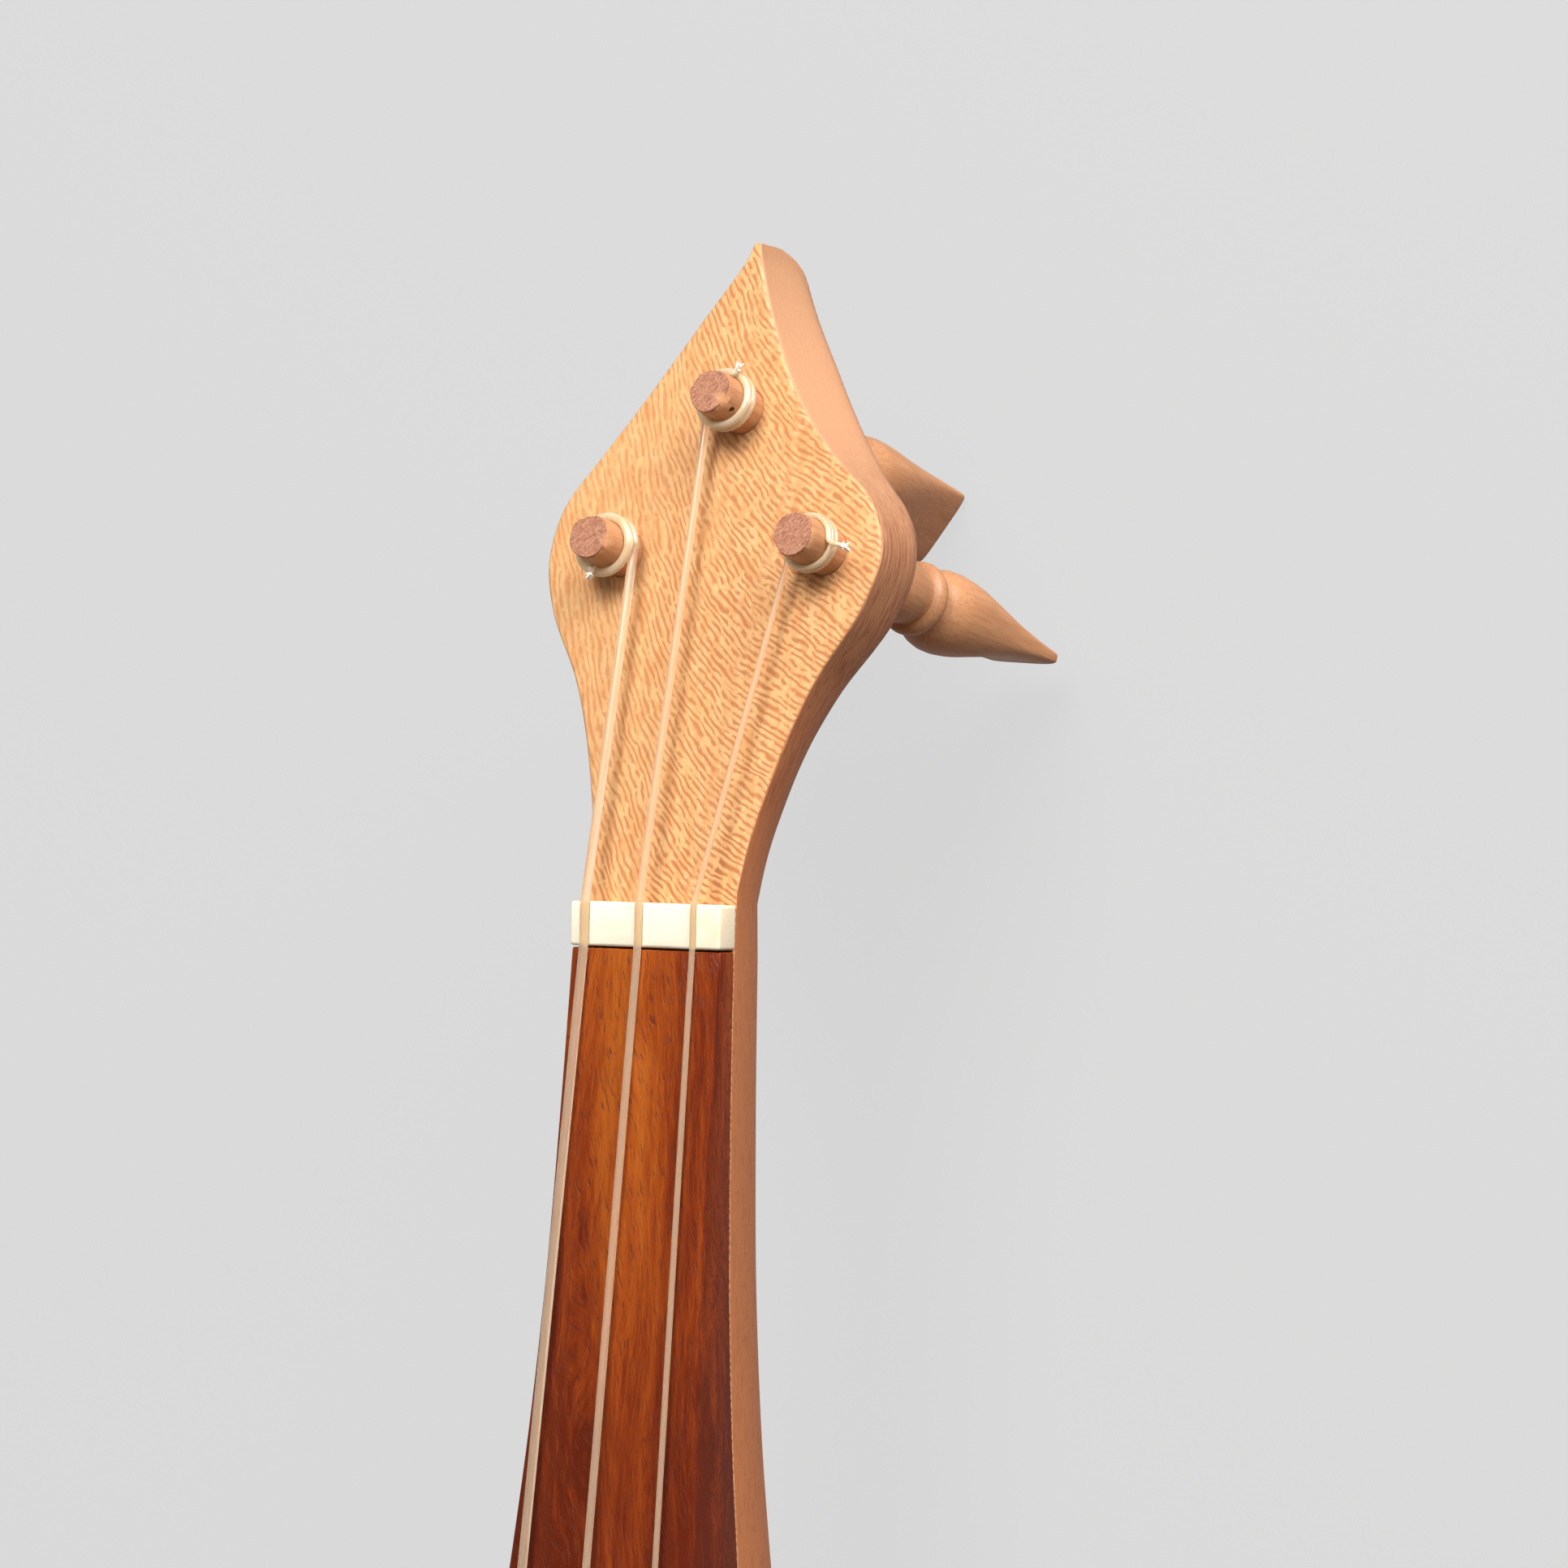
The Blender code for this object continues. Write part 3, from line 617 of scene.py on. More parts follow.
@dataclass(frozen=True)
class Lacewood:
    """Pale golden wood with short dark flecks on its faces and plain grain on its sides, the head's
    sides painted lighter and paler for sheen.
    """

    ground: Colour = (0.69, 0.392, 0.174)
    ground_dark: Colour = (0.62, 0.300, 0.116)
    fleck: Colour = (0.41, 0.142, 0.050)
    neck_side: Colour = (0.455, 0.166, 0.067)
    # Head side: the side wood's colour made lighter and paler to stand in for sheen (painted
    # sheen).
    head_side_and_sheen: Colour = (0.53, 0.270, 0.142)
    side_dark: Colour = (0.25, 0.070, 0.026)
    bands: tuple[FleckBand, ...] = (
        FleckBand(20.0, -27.0, 14.0, 1.12), FleckBand(31.0, -7.0, 6.0, 1.06),
        FleckBand(46.0, 5.0, 6.0, 1.04), FleckBand(61.0, 23.0, 12.0, 1.04))
    turn_down: float = 0.10
    head_foot: float = 172.5
    head_tilt: float = math.radians(11.9)

    def _strokes(self, g: Graph, x: Socket, y: Socket, z: Socket, band: FleckBand,
                 seed: float) -> Socket:
        """Broken wavy strokes that run in one band's direction."""
        turn = math.radians(band.angle)
        across = x * math.cos(turn) + y * math.sin(turn)
        along = y * math.cos(turn) - x * math.sin(turn)
        sway = g.noise(g.combine(across * 0.22 + seed, along * 0.11, z * 0.11), 1.0, 2.0)
        jog = g.noise(g.combine(across * 0.8, along * 0.42 + seed, z * 0.4), 1.0, 1.0)
        lane = across + sway * 2.8 + jog * 0.7
        wave = (lane * (2 * math.pi / band.wide)).sine() * 0.5 + 0.5
        gaps = g.noise(g.combine(lane * 1.05, along * 0.66 + seed, z * 0.4), 1.0, 1.0, 0.4)
        return (wave * gaps.between(0.24, 0.53)).between(0.06, 1.0)

    def _flecks(self, g: Graph, x: Socket, y: Socket, z: Socket) -> Socket:
        """Fleck strength, from bands whose direction turns across the board."""
        wander = g.noise(g.combine(x * 0.05, y * 0.05, z * 0.05), 1.0, 2.0) * 14 - 7
        place = x + wander + (232.0 - y) * self.turn_down
        total: Value = 0.0
        for i, band in enumerate(self.bands):
            low, high = band.middle - band.spread, band.middle + band.spread
            if i == 0:
                reach = place.between(high + 2, high - 2)
            elif i == len(self.bands) - 1:
                reach = place.between(low - 2, low + 2)
            else:
                reach = place.between(low - 2, low + 2) * place.between(high + 2, high - 2)
            total = self._strokes(g, x, y, z, band, i * 17.3) * reach + total
        return total.least(1.0)

    def material(self) -> bpy.types.Material:
        """Build the finish."""
        g = Graph("lacewood")
        p = g.point()
        x, y, z = g.split(p)
        normal = g.split(g.node("ShaderNodeTexCoord", output="Normal"))
        face = abs(normal[2]).between(0.4, 0.85)
        flecks = self._flecks(g, x, y, z)
        ends = abs(y - 228.0).between(18.0, 46.0)
        depth = x.between(-26.0, 8.0) * 0.35 + ends * 0.14 + 0.48
        patch = g.noise(g.stretch(p, 0.06, 0.03, 0.06), 1.0, 3.0)
        tone = g.noise(g.stretch(p, 0.7, 0.14, 0.7), 1.0, 3.0)
        under = z + (y - self.head_foot).most(0.0) * math.tan(self.head_tilt)
        pores = g.noise(g.combine(x * 0.7, y * 0.35, under * 3.4), 1.0, 2.0, 0.6)
        lines = pores.between(0.52, 0.66)
        ground = g.blend(tone.between(0.35, 0.7), self.ground, self.ground_dark)
        marks = flecks * depth * (patch * 0.6 + 0.65)
        front = g.blend(marks.least(1.0), ground, self.fleck)
        # The sides go from the neck's colour to a lighter, paler one on the head: part wood colour,
        # part painted sheen where the head's upper sides catch the light.
        side = g.blend(y.between(185.0, 245.0), self.neck_side, self.head_side_and_sheen)
        thread = g.noise(g.combine(x * 0.5, y * 0.09, under * 3.6), 1.0, 3.0, 0.65)
        near_head = y.between(176.0, 192.0) * 0.45 + 0.12
        grain = (lines * 0.34 + thread.between(0.42, 0.62) * near_head) * (
            1 - y.between(228.0, 250.0) * 0.95)
        plain = g.blend(grain, side, self.side_dark)
        colour = g.blend(face, plain, front)
        rough = 0.38 + flecks * 0.06 + lines * 0.08 + tone * 0.06
        height = 0.5 - flecks * face * 0.35 - lines * 0.3 + tone * 0.2
        return g.surface({"Base Color": colour, "Roughness": rough,
                          "Normal": g.bump(height, 0.06), "Specular IOR Level": 0.28})


@dataclass(frozen=True)
class Rosewood:
    """Glossy red-brown wood with long wandering streaks and short dark pores."""

    name: str = "rosewood"
    darkest: Colour = (0.105, 0.0120, 0.0018)
    dark: Colour = (0.200, 0.0285, 0.0030)
    middle: Colour = (0.290, 0.0540, 0.0050)
    pale: Colour = (0.390, 0.0960, 0.0100)
    streak: float = 1.0
    heart: float = 0.30

    def material(self) -> bpy.types.Material:
        """Build the finish."""
        g = Graph(self.name)
        p = g.point()
        x, y, z = g.split(p)
        drift = g.noise(g.combine(x * 0.045, y * 0.011, z * 0.05), 1.0, 2.0) * 22.0
        lane = x + drift
        middle_line = g.noise(g.combine(y * 0.02, 3.0, 1.0), 1.0, 2.0) * 8.0 - y * 0.075 + 5.0
        heart = abs(x - middle_line).between(11.0, 2.0) * z.between(70.0, 78.0)
        ribbon = g.noise(g.combine(lane * 0.42 * self.streak, y * 0.016, z * 0.3), 1.0, 3.0, 0.6)
        fibre = g.noise(g.combine(lane * 4.6, y * 0.11, z * 2.0), 1.0, 4.0, 0.65)
        flame = g.noise(g.combine(lane * 1.5 + y * 0.20, y * 0.12, z * 0.8), 1.0, 4.0, 0.7)
        toward_nut = y.between(60.0, 150.0)
        tone = (heart * (toward_nut * 0.5 + 0.5) * self.heart + ribbon * 0.66
                + (fibre - 0.5) * 0.52 + (flame - 0.5) * 0.45 + toward_nut * 0.20 + 0.01)
        colour = g.node("ShaderNodeValToRGB", {"stops": (
            (0.36, self.darkest), (0.54, self.dark), (0.72, self.middle),
            (0.95, self.pale))}, {0: tone})
        pores = g.noise(g.combine((lane + y * 0.26) * 4.2, y * 0.34, z * 3.0), 1.0, 1.0, 0.4)
        pits = pores.between(0.60, 0.69)
        colour = g.blend(pits * 0.75, colour, self.darkest)
        rough = 0.2 + fibre * 0.12 + pits * 0.2
        return g.surface({"Base Color": colour, "Roughness": rough,
                          "Normal": g.bump(fibre * 0.35 - pits * 0.6, 0.035),
                          "Specular IOR Level": 0.27})


@dataclass(frozen=True)
class StraightGrain:
    """Wood whose growth lines run straight along one direction of the piece."""

    name: str
    early: Colour
    late: Colour
    pitch: float = 1.4
    roughness: float = 0.42
    coat: float = 0.2
    # Share of painted glint: light streaks along the grain.
    silk_glint: float = 0.3
    pores: float = 0.0
    pore_colour: Colour = (0.10, 0.03, 0.012)
    grain: Grain = Grain.ALONG
    relief: float = 0.03
    rim: float = 1.0

    def material(self) -> bpy.types.Material:
        """Build the finish."""
        g = Graph(self.name)
        p = g.point()
        long = {Grain.ALONG: 1, Grain.ACROSS: 0, Grain.UPRIGHT: 2}[self.grain]

        def drawn(wide: float, length: float) -> Socket:
            """Place on the piece, drawn out along the grain."""
            parts = [wide, wide, wide]
            parts[long] = length
            return g.stretch(p, *parts)

        x, y, z = g.split(p)
        cross = {Grain.ALONG: x + z * 0.35, Grain.ACROSS: y + z * 0.5,
                 Grain.UPRIGHT: x + y * 0.5}[self.grain]
        wander = g.noise(drawn(0.12, 0.012), 1.0, 3.0) * 3.0
        wave = (((cross + wander) * (2 * math.pi / self.pitch)).sine() * 0.5 + 0.5) ** 3
        fibre = g.noise(drawn(6.0, 0.25), 1.0, 3.0, 0.6)
        broad = g.noise(drawn(0.25, 0.03), 1.0, 3.0)
        late = wave * (broad * 0.8 + 0.25) + fibre.between(0.45, 0.75) * 0.35
        if self.rim < 1.0:
            normal = g.split(g.node("ShaderNodeTexCoord", output="Normal"))
            late = late * (abs(normal[2]).between(0.3, 0.8) * (1 - self.rim) + self.rim)
        colour = g.blend(late.least(1.0), self.early, self.late)
        if self.silk_glint:
            # Painted glint: light streaks along the grain, blended toward the early colour.
            glint = g.noise(drawn(0.5, 2.2), 1.0, 2.0).between(0.5, 0.75)
            colour = g.blend(glint * self.silk_glint, colour, self.early)
        height = 0.5 - late * 0.4
        if self.pores:
            pits = g.noise(drawn(5.0, 0.22), 1.0, 1.0, 0.4).between(0.60, 0.70)
            colour = g.blend(pits * self.pores, colour, self.pore_colour)
            height = height - pits * 0.5
        rough = self.roughness + fibre * 0.1 - 0.05 + late * 0.05
        return g.surface({"Base Color": colour, "Roughness": rough,
                          "Normal": g.bump(height, self.relief), "Coat Weight": self.coat,
                          "Coat Roughness": 0.15, "Specular IOR Level": 0.3})


@dataclass(frozen=True)
class PegWood:
    """Turned fruitwood: satin along the shaft, rough and darker on the sawn end grain."""

    axis: Vector
    front: Vector
    seed: float = 0.0
    satin: Colour = (0.60, 0.305, 0.150)
    satin_dark: Colour = (0.42, 0.165, 0.066)
    end_light: Colour = (0.52, 0.255, 0.148)
    end_dark: Colour = (0.21, 0.066, 0.035)

    def material(self) -> bpy.types.Material:
        """Build the finish for one peg, its grain along that peg's axis."""
        g = Graph("pearwood")
        spot = g.node("ShaderNodeTexCoord", output="Object")
        across = Vector((1, 0, 0))
        up = self.axis.cross(across).normalized()
        from_front = g.vector("SCALE", g.vector("SUBTRACT", spot, tuple(self.front)),
                              scale=1 / MM)
        u, v, w = (g.node("ShaderNodeVectorMath", {"operation": "DOT_PRODUCT"},
                          {0: from_front, 1: tuple(way)}, "Value")
                   for way in (across, up, self.axis))
        along = g.combine(u * 2.2 + self.seed, v * 2.2, w * 0.14)
        fibre = g.noise(along, 1.0, 4.0, 0.65)
        streak = g.noise(g.combine(u * 0.5 + self.seed, v * 0.5, w * 0.03), 1.0, 2.0)
        end = w.between(-0.60, -0.38)
        speck = g.noise(g.combine(u * 2.6, v * 2.6, w + self.seed), 1.0, 5.0, 0.75)
        saw = g.noise(g.combine(u * 0.5 + v * 0.5 + self.seed, (u - v) * 2.6, w), 1.0, 3.0, 0.6)
        satin = g.blend(fibre.between(0.3, 0.75) * 0.6 + streak * 0.35, self.satin,
                        self.satin_dark)
        sawn_end = g.blend((speck.between(0.35, 0.7) * 0.6 + saw.between(0.3, 0.7) * 0.5),
                           self.end_dark, self.end_light)
        colour = g.blend(end, satin, sawn_end)
        rough = 0.33 + fibre * 0.10 + end * 0.45
        height = fibre * (0.25 - end * 0.25) + (speck + saw) * end
        return g.surface({"Base Color": colour, "Roughness": rough,
                          "Normal": g.bump(height, 0.09), "Specular IOR Level": 0.42})


@dataclass(frozen=True)
class Bone:
    """Polished cream bone with faint yellow clouds and fine pores, and painted shade that turns it
    darker and yellower toward its right end.
    """

    light: Colour = (0.90, 0.83, 0.66)
    dark: Colour = (0.80, 0.65, 0.42)

    def material(self) -> bpy.types.Material:
        """Build the finish."""
        g = Graph("bone")
        p = g.point()
        x, _, _ = g.split(p)
        cloud = g.noise(g.stretch(p, 0.12, 0.3, 0.3), 1.0, 3.0)
        pits = g.noise(g.stretch(p, 0.9, 4.0, 4.0), 1.0, 2.0).between(0.62, 0.74)
        # Painted shade: the colour goes darker and yellower toward the nut's right end and over its
        # end face.
        share = cloud.between(0.45, 0.8) * 0.5 + x.between(6.0, 15.0) * 0.45
        colour = g.blend(share, self.light, self.dark)
        colour = g.blend(pits * 0.25, colour, self.dark)
        return g.surface({"Base Color": colour, "Roughness": 0.2 + cloud * 0.12 + pits * 0.1,
                          "Normal": g.bump(cloud - pits * 0.6, 0.02),
                          "Subsurface Weight": 0.12, "Subsurface Radius": (1.0, 0.7, 0.4),
                          "Subsurface Scale": 0.002, "IOR": 1.54})


@dataclass(frozen=True)
class Gut:
    """Translucent beige cord with a faint twist and a soft gloss."""

    name: str = "gut"
    light: Colour = (1.0, 0.82, 0.60)
    dark: Colour = (0.97, 0.77, 0.53)
    clear: float = 0.82
    roughness: float = 0.30
    gloss: float = 0.25
    twist: float = 0.0

    def material(self) -> bpy.types.Material:
        """Build the finish."""
        g = Graph(self.name)
        p = g.point()
        cloud = g.noise(g.stretch(p, 0.5, 0.15, 0.5), 1.0, 3.0)
        fine = g.noise(g.stretch(p, 2.0, 0.4, 2.0), 1.0, 2.0)
        colour = g.blend(cloud.between(0.3, 0.7) * 0.6 + fine * 0.2, self.light, self.dark)
        sockets = {"Normal": g.bump(cloud, self.twist)} if self.twist else {}
        return g.surface(sockets | {
            "Base Color": colour, "Roughness": self.roughness + fine * 0.04, "IOR": 1.5,
            "Coat Weight": self.gloss, "Coat Roughness": 0.08,
            "Transmission Weight": self.clear})


@dataclass(frozen=True)
class Finishes:
    """One of each finish that more than one piece shares."""

    lacewood: bpy.types.Material
    spruce: bpy.types.Material
    rosewood: bpy.types.Material
    turned_rosewood: bpy.types.Material
    bone: bpy.types.Material
    maple: bpy.types.Material
    string: bpy.types.Material
    wound: bpy.types.Material
    gut: bpy.types.Material
    frayed: bpy.types.Material

    @classmethod
    def mix(cls) -> "Finishes":
        """Build every shared finish."""
        return cls(
            lacewood=Lacewood().material(),
            spruce=StraightGrain("spruce", (0.72, 0.50, 0.26), (0.50, 0.27, 0.10), 1.5,
                                 0.40, 0.15, 0.35, rim=0.3).material(),
            rosewood=Rosewood().material(),
            turned_rosewood=Rosewood("rosewood_turned", streak=1.8).material(),
            bone=Bone().material(),
            maple=StraightGrain("maple", (0.62, 0.40, 0.20), (0.52, 0.30, 0.135), 1.1,
                                0.36, 0.2, 0.5, 0.3, grain=Grain.ACROSS).material(),
            string=Gut("string").material(),
            wound=Gut("wound", (1.0, 0.88, 0.66), (0.92, 0.70, 0.40), 0.62, 0.18, 0.6,
                      0.008).material(),
            gut=Gut("gut", (0.86, 0.72, 0.50), (0.66, 0.48, 0.28), 0.25, 0.34, 0.3,
                    0.01).material(),
            frayed=Gut("frayed", (0.99, 0.96, 0.88), (0.92, 0.86, 0.72), 0.05, 0.5, 0.0,
                       0.01).material())


def dress(piece: bpy.types.Object, finish: bpy.types.Material, body: str,
          stands_for: Sequence[str] = ()) -> bpy.types.Object:
    """Give a piece its finish, its body and the frame nodes that it stands for.

    Args:
        piece: The finished mesh.
        finish: Its material.
        body: The body that carries it.
        stands_for: Frame nodes that it replaces.

    Returns:
        The piece.
    """
    piece.data.materials.clear()
    piece.data.materials.append(finish)
    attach(piece, body)
    if stands_for:
        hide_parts(*stands_for)
    faces = sum(len(face.vertices) - 2 for face in piece.data.polygons)
    LOG.info("%s rides %s, %d triangles", piece.name, body, faces)
    return piece


# ---- body ------------------------------------------------------------------------------
@dataclass(frozen=True)
class BodyShape:
    """Outline, depth and section of the carved body, in working millimetres."""

    width: Table = ((-340, 88), (-300, 83.5), (-250, 67), (-200, 46), (-160, 31),
                    (-130, 22.6), (-115, 19.6), (-90, 16.9), (-60, 15.1), (-30, 14.5),
                    (0, 14.4))
    depth: Table = ((-340, 76), (-300, 72), (-250, 59.5), (-200, 43), (-160, 31),
                    (-130, 24.2), (-115, 21.5), (-90, 18.4), (-60, 16.2), (-30, 15.2),
                    (0, 14.6))
    tail_centre: float = -340.0
    tail_length: float = 95.0
    head_length: float = 108.0
    head_thick: float = 14.2
    head_width: Table = ((0, 14.2), (9, 15.1), (18, 17.1), (36, 23.4), (48, 30.3),
                         (57, 32.4), (66, 29.2), (72, 23.5), (78, 18.3), (84, 13.9), (91, 9.5),
                         (97, 6.0), (102, 3.2), (106, 1.25), (108, 0.6))
    head_drift: Table = ((0, 0), (50, 0), (59, 0), (66, -0.8), (72, -2.0), (78, -2.6),
                         (84.5, -2.6), (91, -2.1), (97, -1.4), (103, -0.4), (108, 0.3))
    head_flare: Table = ((0, 0), (60, 0), (72, 0.03), (78, 0.07), (85, 0.11), (91, 0.13),
                         (97, 0.11), (103, 0.08), (108, 0.05))
    tip_swell: float = 0.8
    swell_from: float = 92.0
    head_power: Table = ((0, 2.4), (15, 2.5), (30, 3.2), (40, 4.6), (52, 7.5), (70, 9),
                         (108, 9))
    tip_round: float = 3.5

    def size(self, y: float) -> tuple[float, float]:
        """Half width and depth of the neck or bowl at y."""
        if y < self.tail_centre:
            share = min((self.tail_centre - y) / self.tail_length, 1.0)
            fall = math.sqrt(1 - share**2)
            return self.width[0][1] * fall**0.9, self.depth[0][1] * fall**0.8
        return smooth(self.width, y), smooth(self.depth, y)

    def power(self, y: float) -> float:
        """Squareness of the neck or bowl section at y."""
        return 2.15 + 0.35 * float(np.clip((y + 160) / 60, 0, 1))

    def head_depth(self, along: float) -> float:
        """Thickness of the head, its back corner rounded off near the tip."""
        over = max(along - (self.head_length - self.tip_round), 0)
        return self.head_thick - self.tip_round + math.sqrt(self.tip_round**2 - over**2)

    def carve(self, x: float, along: float, z: float, share: float) -> tuple[
            float, float, float]:
        """Hand-carved unevenness of the head: its face drifts aside, its back flares."""
        run = (along - self.swell_from) / (self.head_length - self.swell_from)
        swell = self.tip_swell * max(run, 0) ** 2 * math.sin(math.pi * min(share, 1) ** 1.4)
        aside = smooth(self.head_drift, along) * (1 - share)
        return x * (1 + smooth(self.head_flare, along) * share) + aside, along + swell, z

    def section(self, half: float, depth: float, power: float, edge: float,
                back: int = 72, corner: int = 5, top: int = 20) -> list[tuple[float, float]]:
        """Closed section: round the back, over one eased edge, across the front, over the other.

        Args:
            half: Half width.
            depth: Depth below the front face.
            power: Squareness of the back.
            edge: Radius of the eased front edges.
            back: Steps round the back.
            corner: Steps over an edge.
            top: Steps across the front.

        Returns:
            (x, z) pairs.
        """
        edge = min(edge, half * 0.45, depth * 0.4)
        start = math.atan2(edge, half)
        ring = []
        for k in range(back + 1):
            a = start + (math.pi - 2 * start) * k / back
            c, s = math.cos(a), math.sin(a)
            reach = ((abs(c) / half) ** power + (s / depth) ** power) ** (-1 / power)
            ring.append((-reach * c, -reach * s))
        centre = ring[-1][0] - edge
        over = [(centre + edge * math.cos(a), -edge + edge * math.sin(a))
                for a in (math.pi / 2 * k / corner for k in range(1, corner + 1))]
        flat = [(centre * (1 - 2 * k / top), 0.0) for k in range(1, top)]
        return ring + over + flat + [(-x, z) for x, z in reversed(over)]


@dataclass
class CarvedBody:
    """Head, neck and bowl in one piece of lacewood, hollowed and drilled."""

    datum: Datum
    finishes: Finishes
    shape: BodyShape = field(default_factory=BodyShape)
    head_edge: float = 0.7
    neck_edge: float = 0.15
    recess_floor: float = -3.3
    recess_end: float = -129.7
    wall_side: float = 5.0
    wall_back: float = 5.5
    hollow: tuple[float, float] = (-417.0, -155.0)

    def _rings(self) -> list[list[Vector]]:
        """Rings from the tail end to the tip of the head."""
        s = self.shape
        rings = []
        tail = [s.tail_centre - s.tail_length * math.sin(math.radians(a))
                for a in list(np.linspace(90, 60, 12)) + list(np.linspace(57, 0, 20))]
        for y in tail + list(np.arange(-336, -130, 3.5)) + list(np.arange(-130, -4, 2.5)):
            half, depth = s.size(y)
            ring = s.section(max(half, 1e-3), max(depth, 1e-3), s.power(y), self.neck_edge)
            rings.append([self.datum.at(x, y, z) for x, z in ring])
        heights = list(np.arange(2, 100, 1.25)) + list(np.arange(100, 107.9, 0.7)) + [108.0]
        for along in heights:
            edge = self.neck_edge + (self.head_edge - self.neck_edge) * min(along / 14, 1)
            deep = s.head_depth(along)
            ring = s.section(smooth(s.head_width, along), deep, smooth(s.head_power, along),
                             edge)
            rings.append([self.datum.head(*s.carve(x, along, z, -z / deep)) for x, z in ring])
        return rings

    def _recess_tool(self) -> bpy.types.Object:
        """Block that lowers the rim of the bowl for the soundboard."""
        return block("recess", self.datum.at(-120, -460, self.recess_floor),
                     self.datum.at(120, self.recess_end, 20))

    def _hollow_tool(self) -> bpy.types.Object:
        """Solid that empties the bowl."""
        s = self.shape
        rings = []
        low, high = self.hollow
        for y in [low, -413, -410, -405, -400, -394, -388, -381, -375, -367, -360, -350] + list(
                np.arange(-340, high, 8)) + [high]:
            half, depth = s.size(y)
            ring = s.section(half - self.wall_side, depth - self.wall_back, 2.15, 0.5, 40, 1, 4)
            rings.append([self.datum.at(x, y, z + (4.0 if z > -0.6 else 0.0)) for x, z in ring])
        return loft("hollow", rings)

    def build(self, pegs: Sequence["Peg"]) -> bpy.types.Object:
        """Carve, hollow and drill the body.

        Args:
            pegs: The pegs whose holes are bored.

        Returns:
            The dressed body.
        """
        body = loft("lacewood_body", self._rings())
        tools = [self._recess_tool(), self._hollow_tool()] + [peg.bore() for peg in pegs]
        tools.append(rod("button_bore", self.datum.at(0, -424.5, -8), self.datum.at(0, -445, -8),
                         3.0 * MM))
        cut(body, tools)
        polish(body, 32)
        return dress(body, self.finishes.lacewood, "instrument", ("carved_body",))


@dataclass
class Soundboard:
    """Flat spruce board let into the bowl, with two D-shaped sound holes."""

    datum: Datum
    finishes: Finishes
    shape: BodyShape = field(default_factory=BodyShape)
    thick: float = 3.0
    start: float = -130.0
    inset: float = 0.1
    hole: tuple[float, float, float, float] = (40.0, -302.0, 11.7, 16.9)

    def build(self) -> bpy.types.Object:
        """Saw the board and its holes."""
        s = self.shape
        ys = [s.tail_centre - s.tail_length * math.sin(math.radians(a))
              for a in np.linspace(84, 0, 36)] + list(np.arange(-337, self.start, 3)) + [self.start]
        right = [(s.size(y)[0] - self.inset, y) for y in ys]
        outlines = [right + [(-x, y) for x, y in reversed(right)]]
        x0, y0, wide, tall = self.hole
        for side in (-1, 1):
            outlines.append([(side * (x0 + wide * math.cos(a)), y0 + tall * math.sin(a))
                             for a in np.linspace(-math.pi / 2, math.pi / 2, 33)])
        place = Matrix.Translation(self.datum.at(0, 0, -self.thick / 2))
        board = sawn("spruce_soundboard", outlines, self.thick, 0.25, place)
        polish(board, 32, flat_faces=True)
        return dress(board, self.finishes.spruce, "instrument", ("soundboard",))


@dataclass
class InnerWork:
    """Soundpost, bass bar and braces, kept from the frame and given their wood."""

    finishes: Finishes
    nodes: tuple[str, ...] = ("soundpost", "bass_bar", "brace_upper", "brace_lower")

    def build(self) -> None:
        """Dress the frame's own nodes."""
        for name in self.nodes:
            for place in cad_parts[name].material_slots:
                place.material = self.finishes.spruce
            LOG.info("%s keeps its frame mesh", name)


# ---- fingerboard, nut, bridge, tail ----------------------------------------------------
@dataclass
class Fingerboard:
    """Rosewood wedge that thickens toward the bridge."""

    datum: Datum
    finishes: Finishes
    ends: tuple[float, float] = (-215.0, -3.8)
    foot: float = 0.03
    nut_thick: float = 3.6
    slope: float = 0.086
    camber: float = 0.5
    width: Table = ((-215, 23.4), (-180, 23.0), (-150, 22.2), (-115, 19.4), (-90, 16.8),
                    (-60, 15.0), (-30, 14.3), (0, 14.2))
    neck: BodyShape = field(default_factory=BodyShape)

    def top(self, y: float) -> float:
        """Height of the board's edge at y."""
        return self.nut_thick + self.slope * (-y - 3.5)

    def build(self) -> bpy.types.Object:
        """Plane the board to its wedge and ease its edges."""
        rings = []
        for y in np.linspace(*self.ends, 54):
            half = min(smooth(self.width, y) + 0.25, self.neck.size(y)[0] - 0.01)
            top = self.top(y)
            ring = [self.datum.at(half * (2 * k / 8 - 1), y, self.foot) for k in range(9)]
            ring += [self.datum.at(half * k, y, top + self.camber * (1 - k * k))
                     for k in np.linspace(1, -1, 15)]
            rings.append(ring)
        board = ease(loft("rosewood_fingerboard", rings), 0.3, 3, 50)
        polish(board, 30)
        return dress(board, self.finishes.rosewood, "instrument", ("fingerboard",))


@dataclass(frozen=True)
class StringLine:
    """Where one string runs: across at the nut and bridge, height at the bridge, thickness."""

    name: str
    nut_x: float
    bridge_x: float
    bridge_z: float
    size: float
    side: int        # +1 where it leaves its peg on the right, -1 on the left


STRINGS = (StringLine("left", -11.2, -18.6, 35.6, 1.5, 1),
           StringLine("middle", -0.8, -0.8, 37.4, 1.25, -1),
           StringLine("right", 9.6, 17.0, 35.6, 0.95, -1))


def slot_files(spots: Sequence[Vector], play: float) -> list[bpy.types.Object]:
    """Round files that lie along the strings, one for each string.

    Args:
        spots: Middle of each string where it crosses the piece, in metres.
        play: How much wider than the string the slot is, to each side, in millimetres.

    Returns:
        The files, in the strings' order.
    """
    half = Vector((0, 8, 0)) * MM
    return [rod("file", spot - half, spot + half, (line.size / 2 + play) * MM)
            for spot, line in zip(spots, STRINGS)]


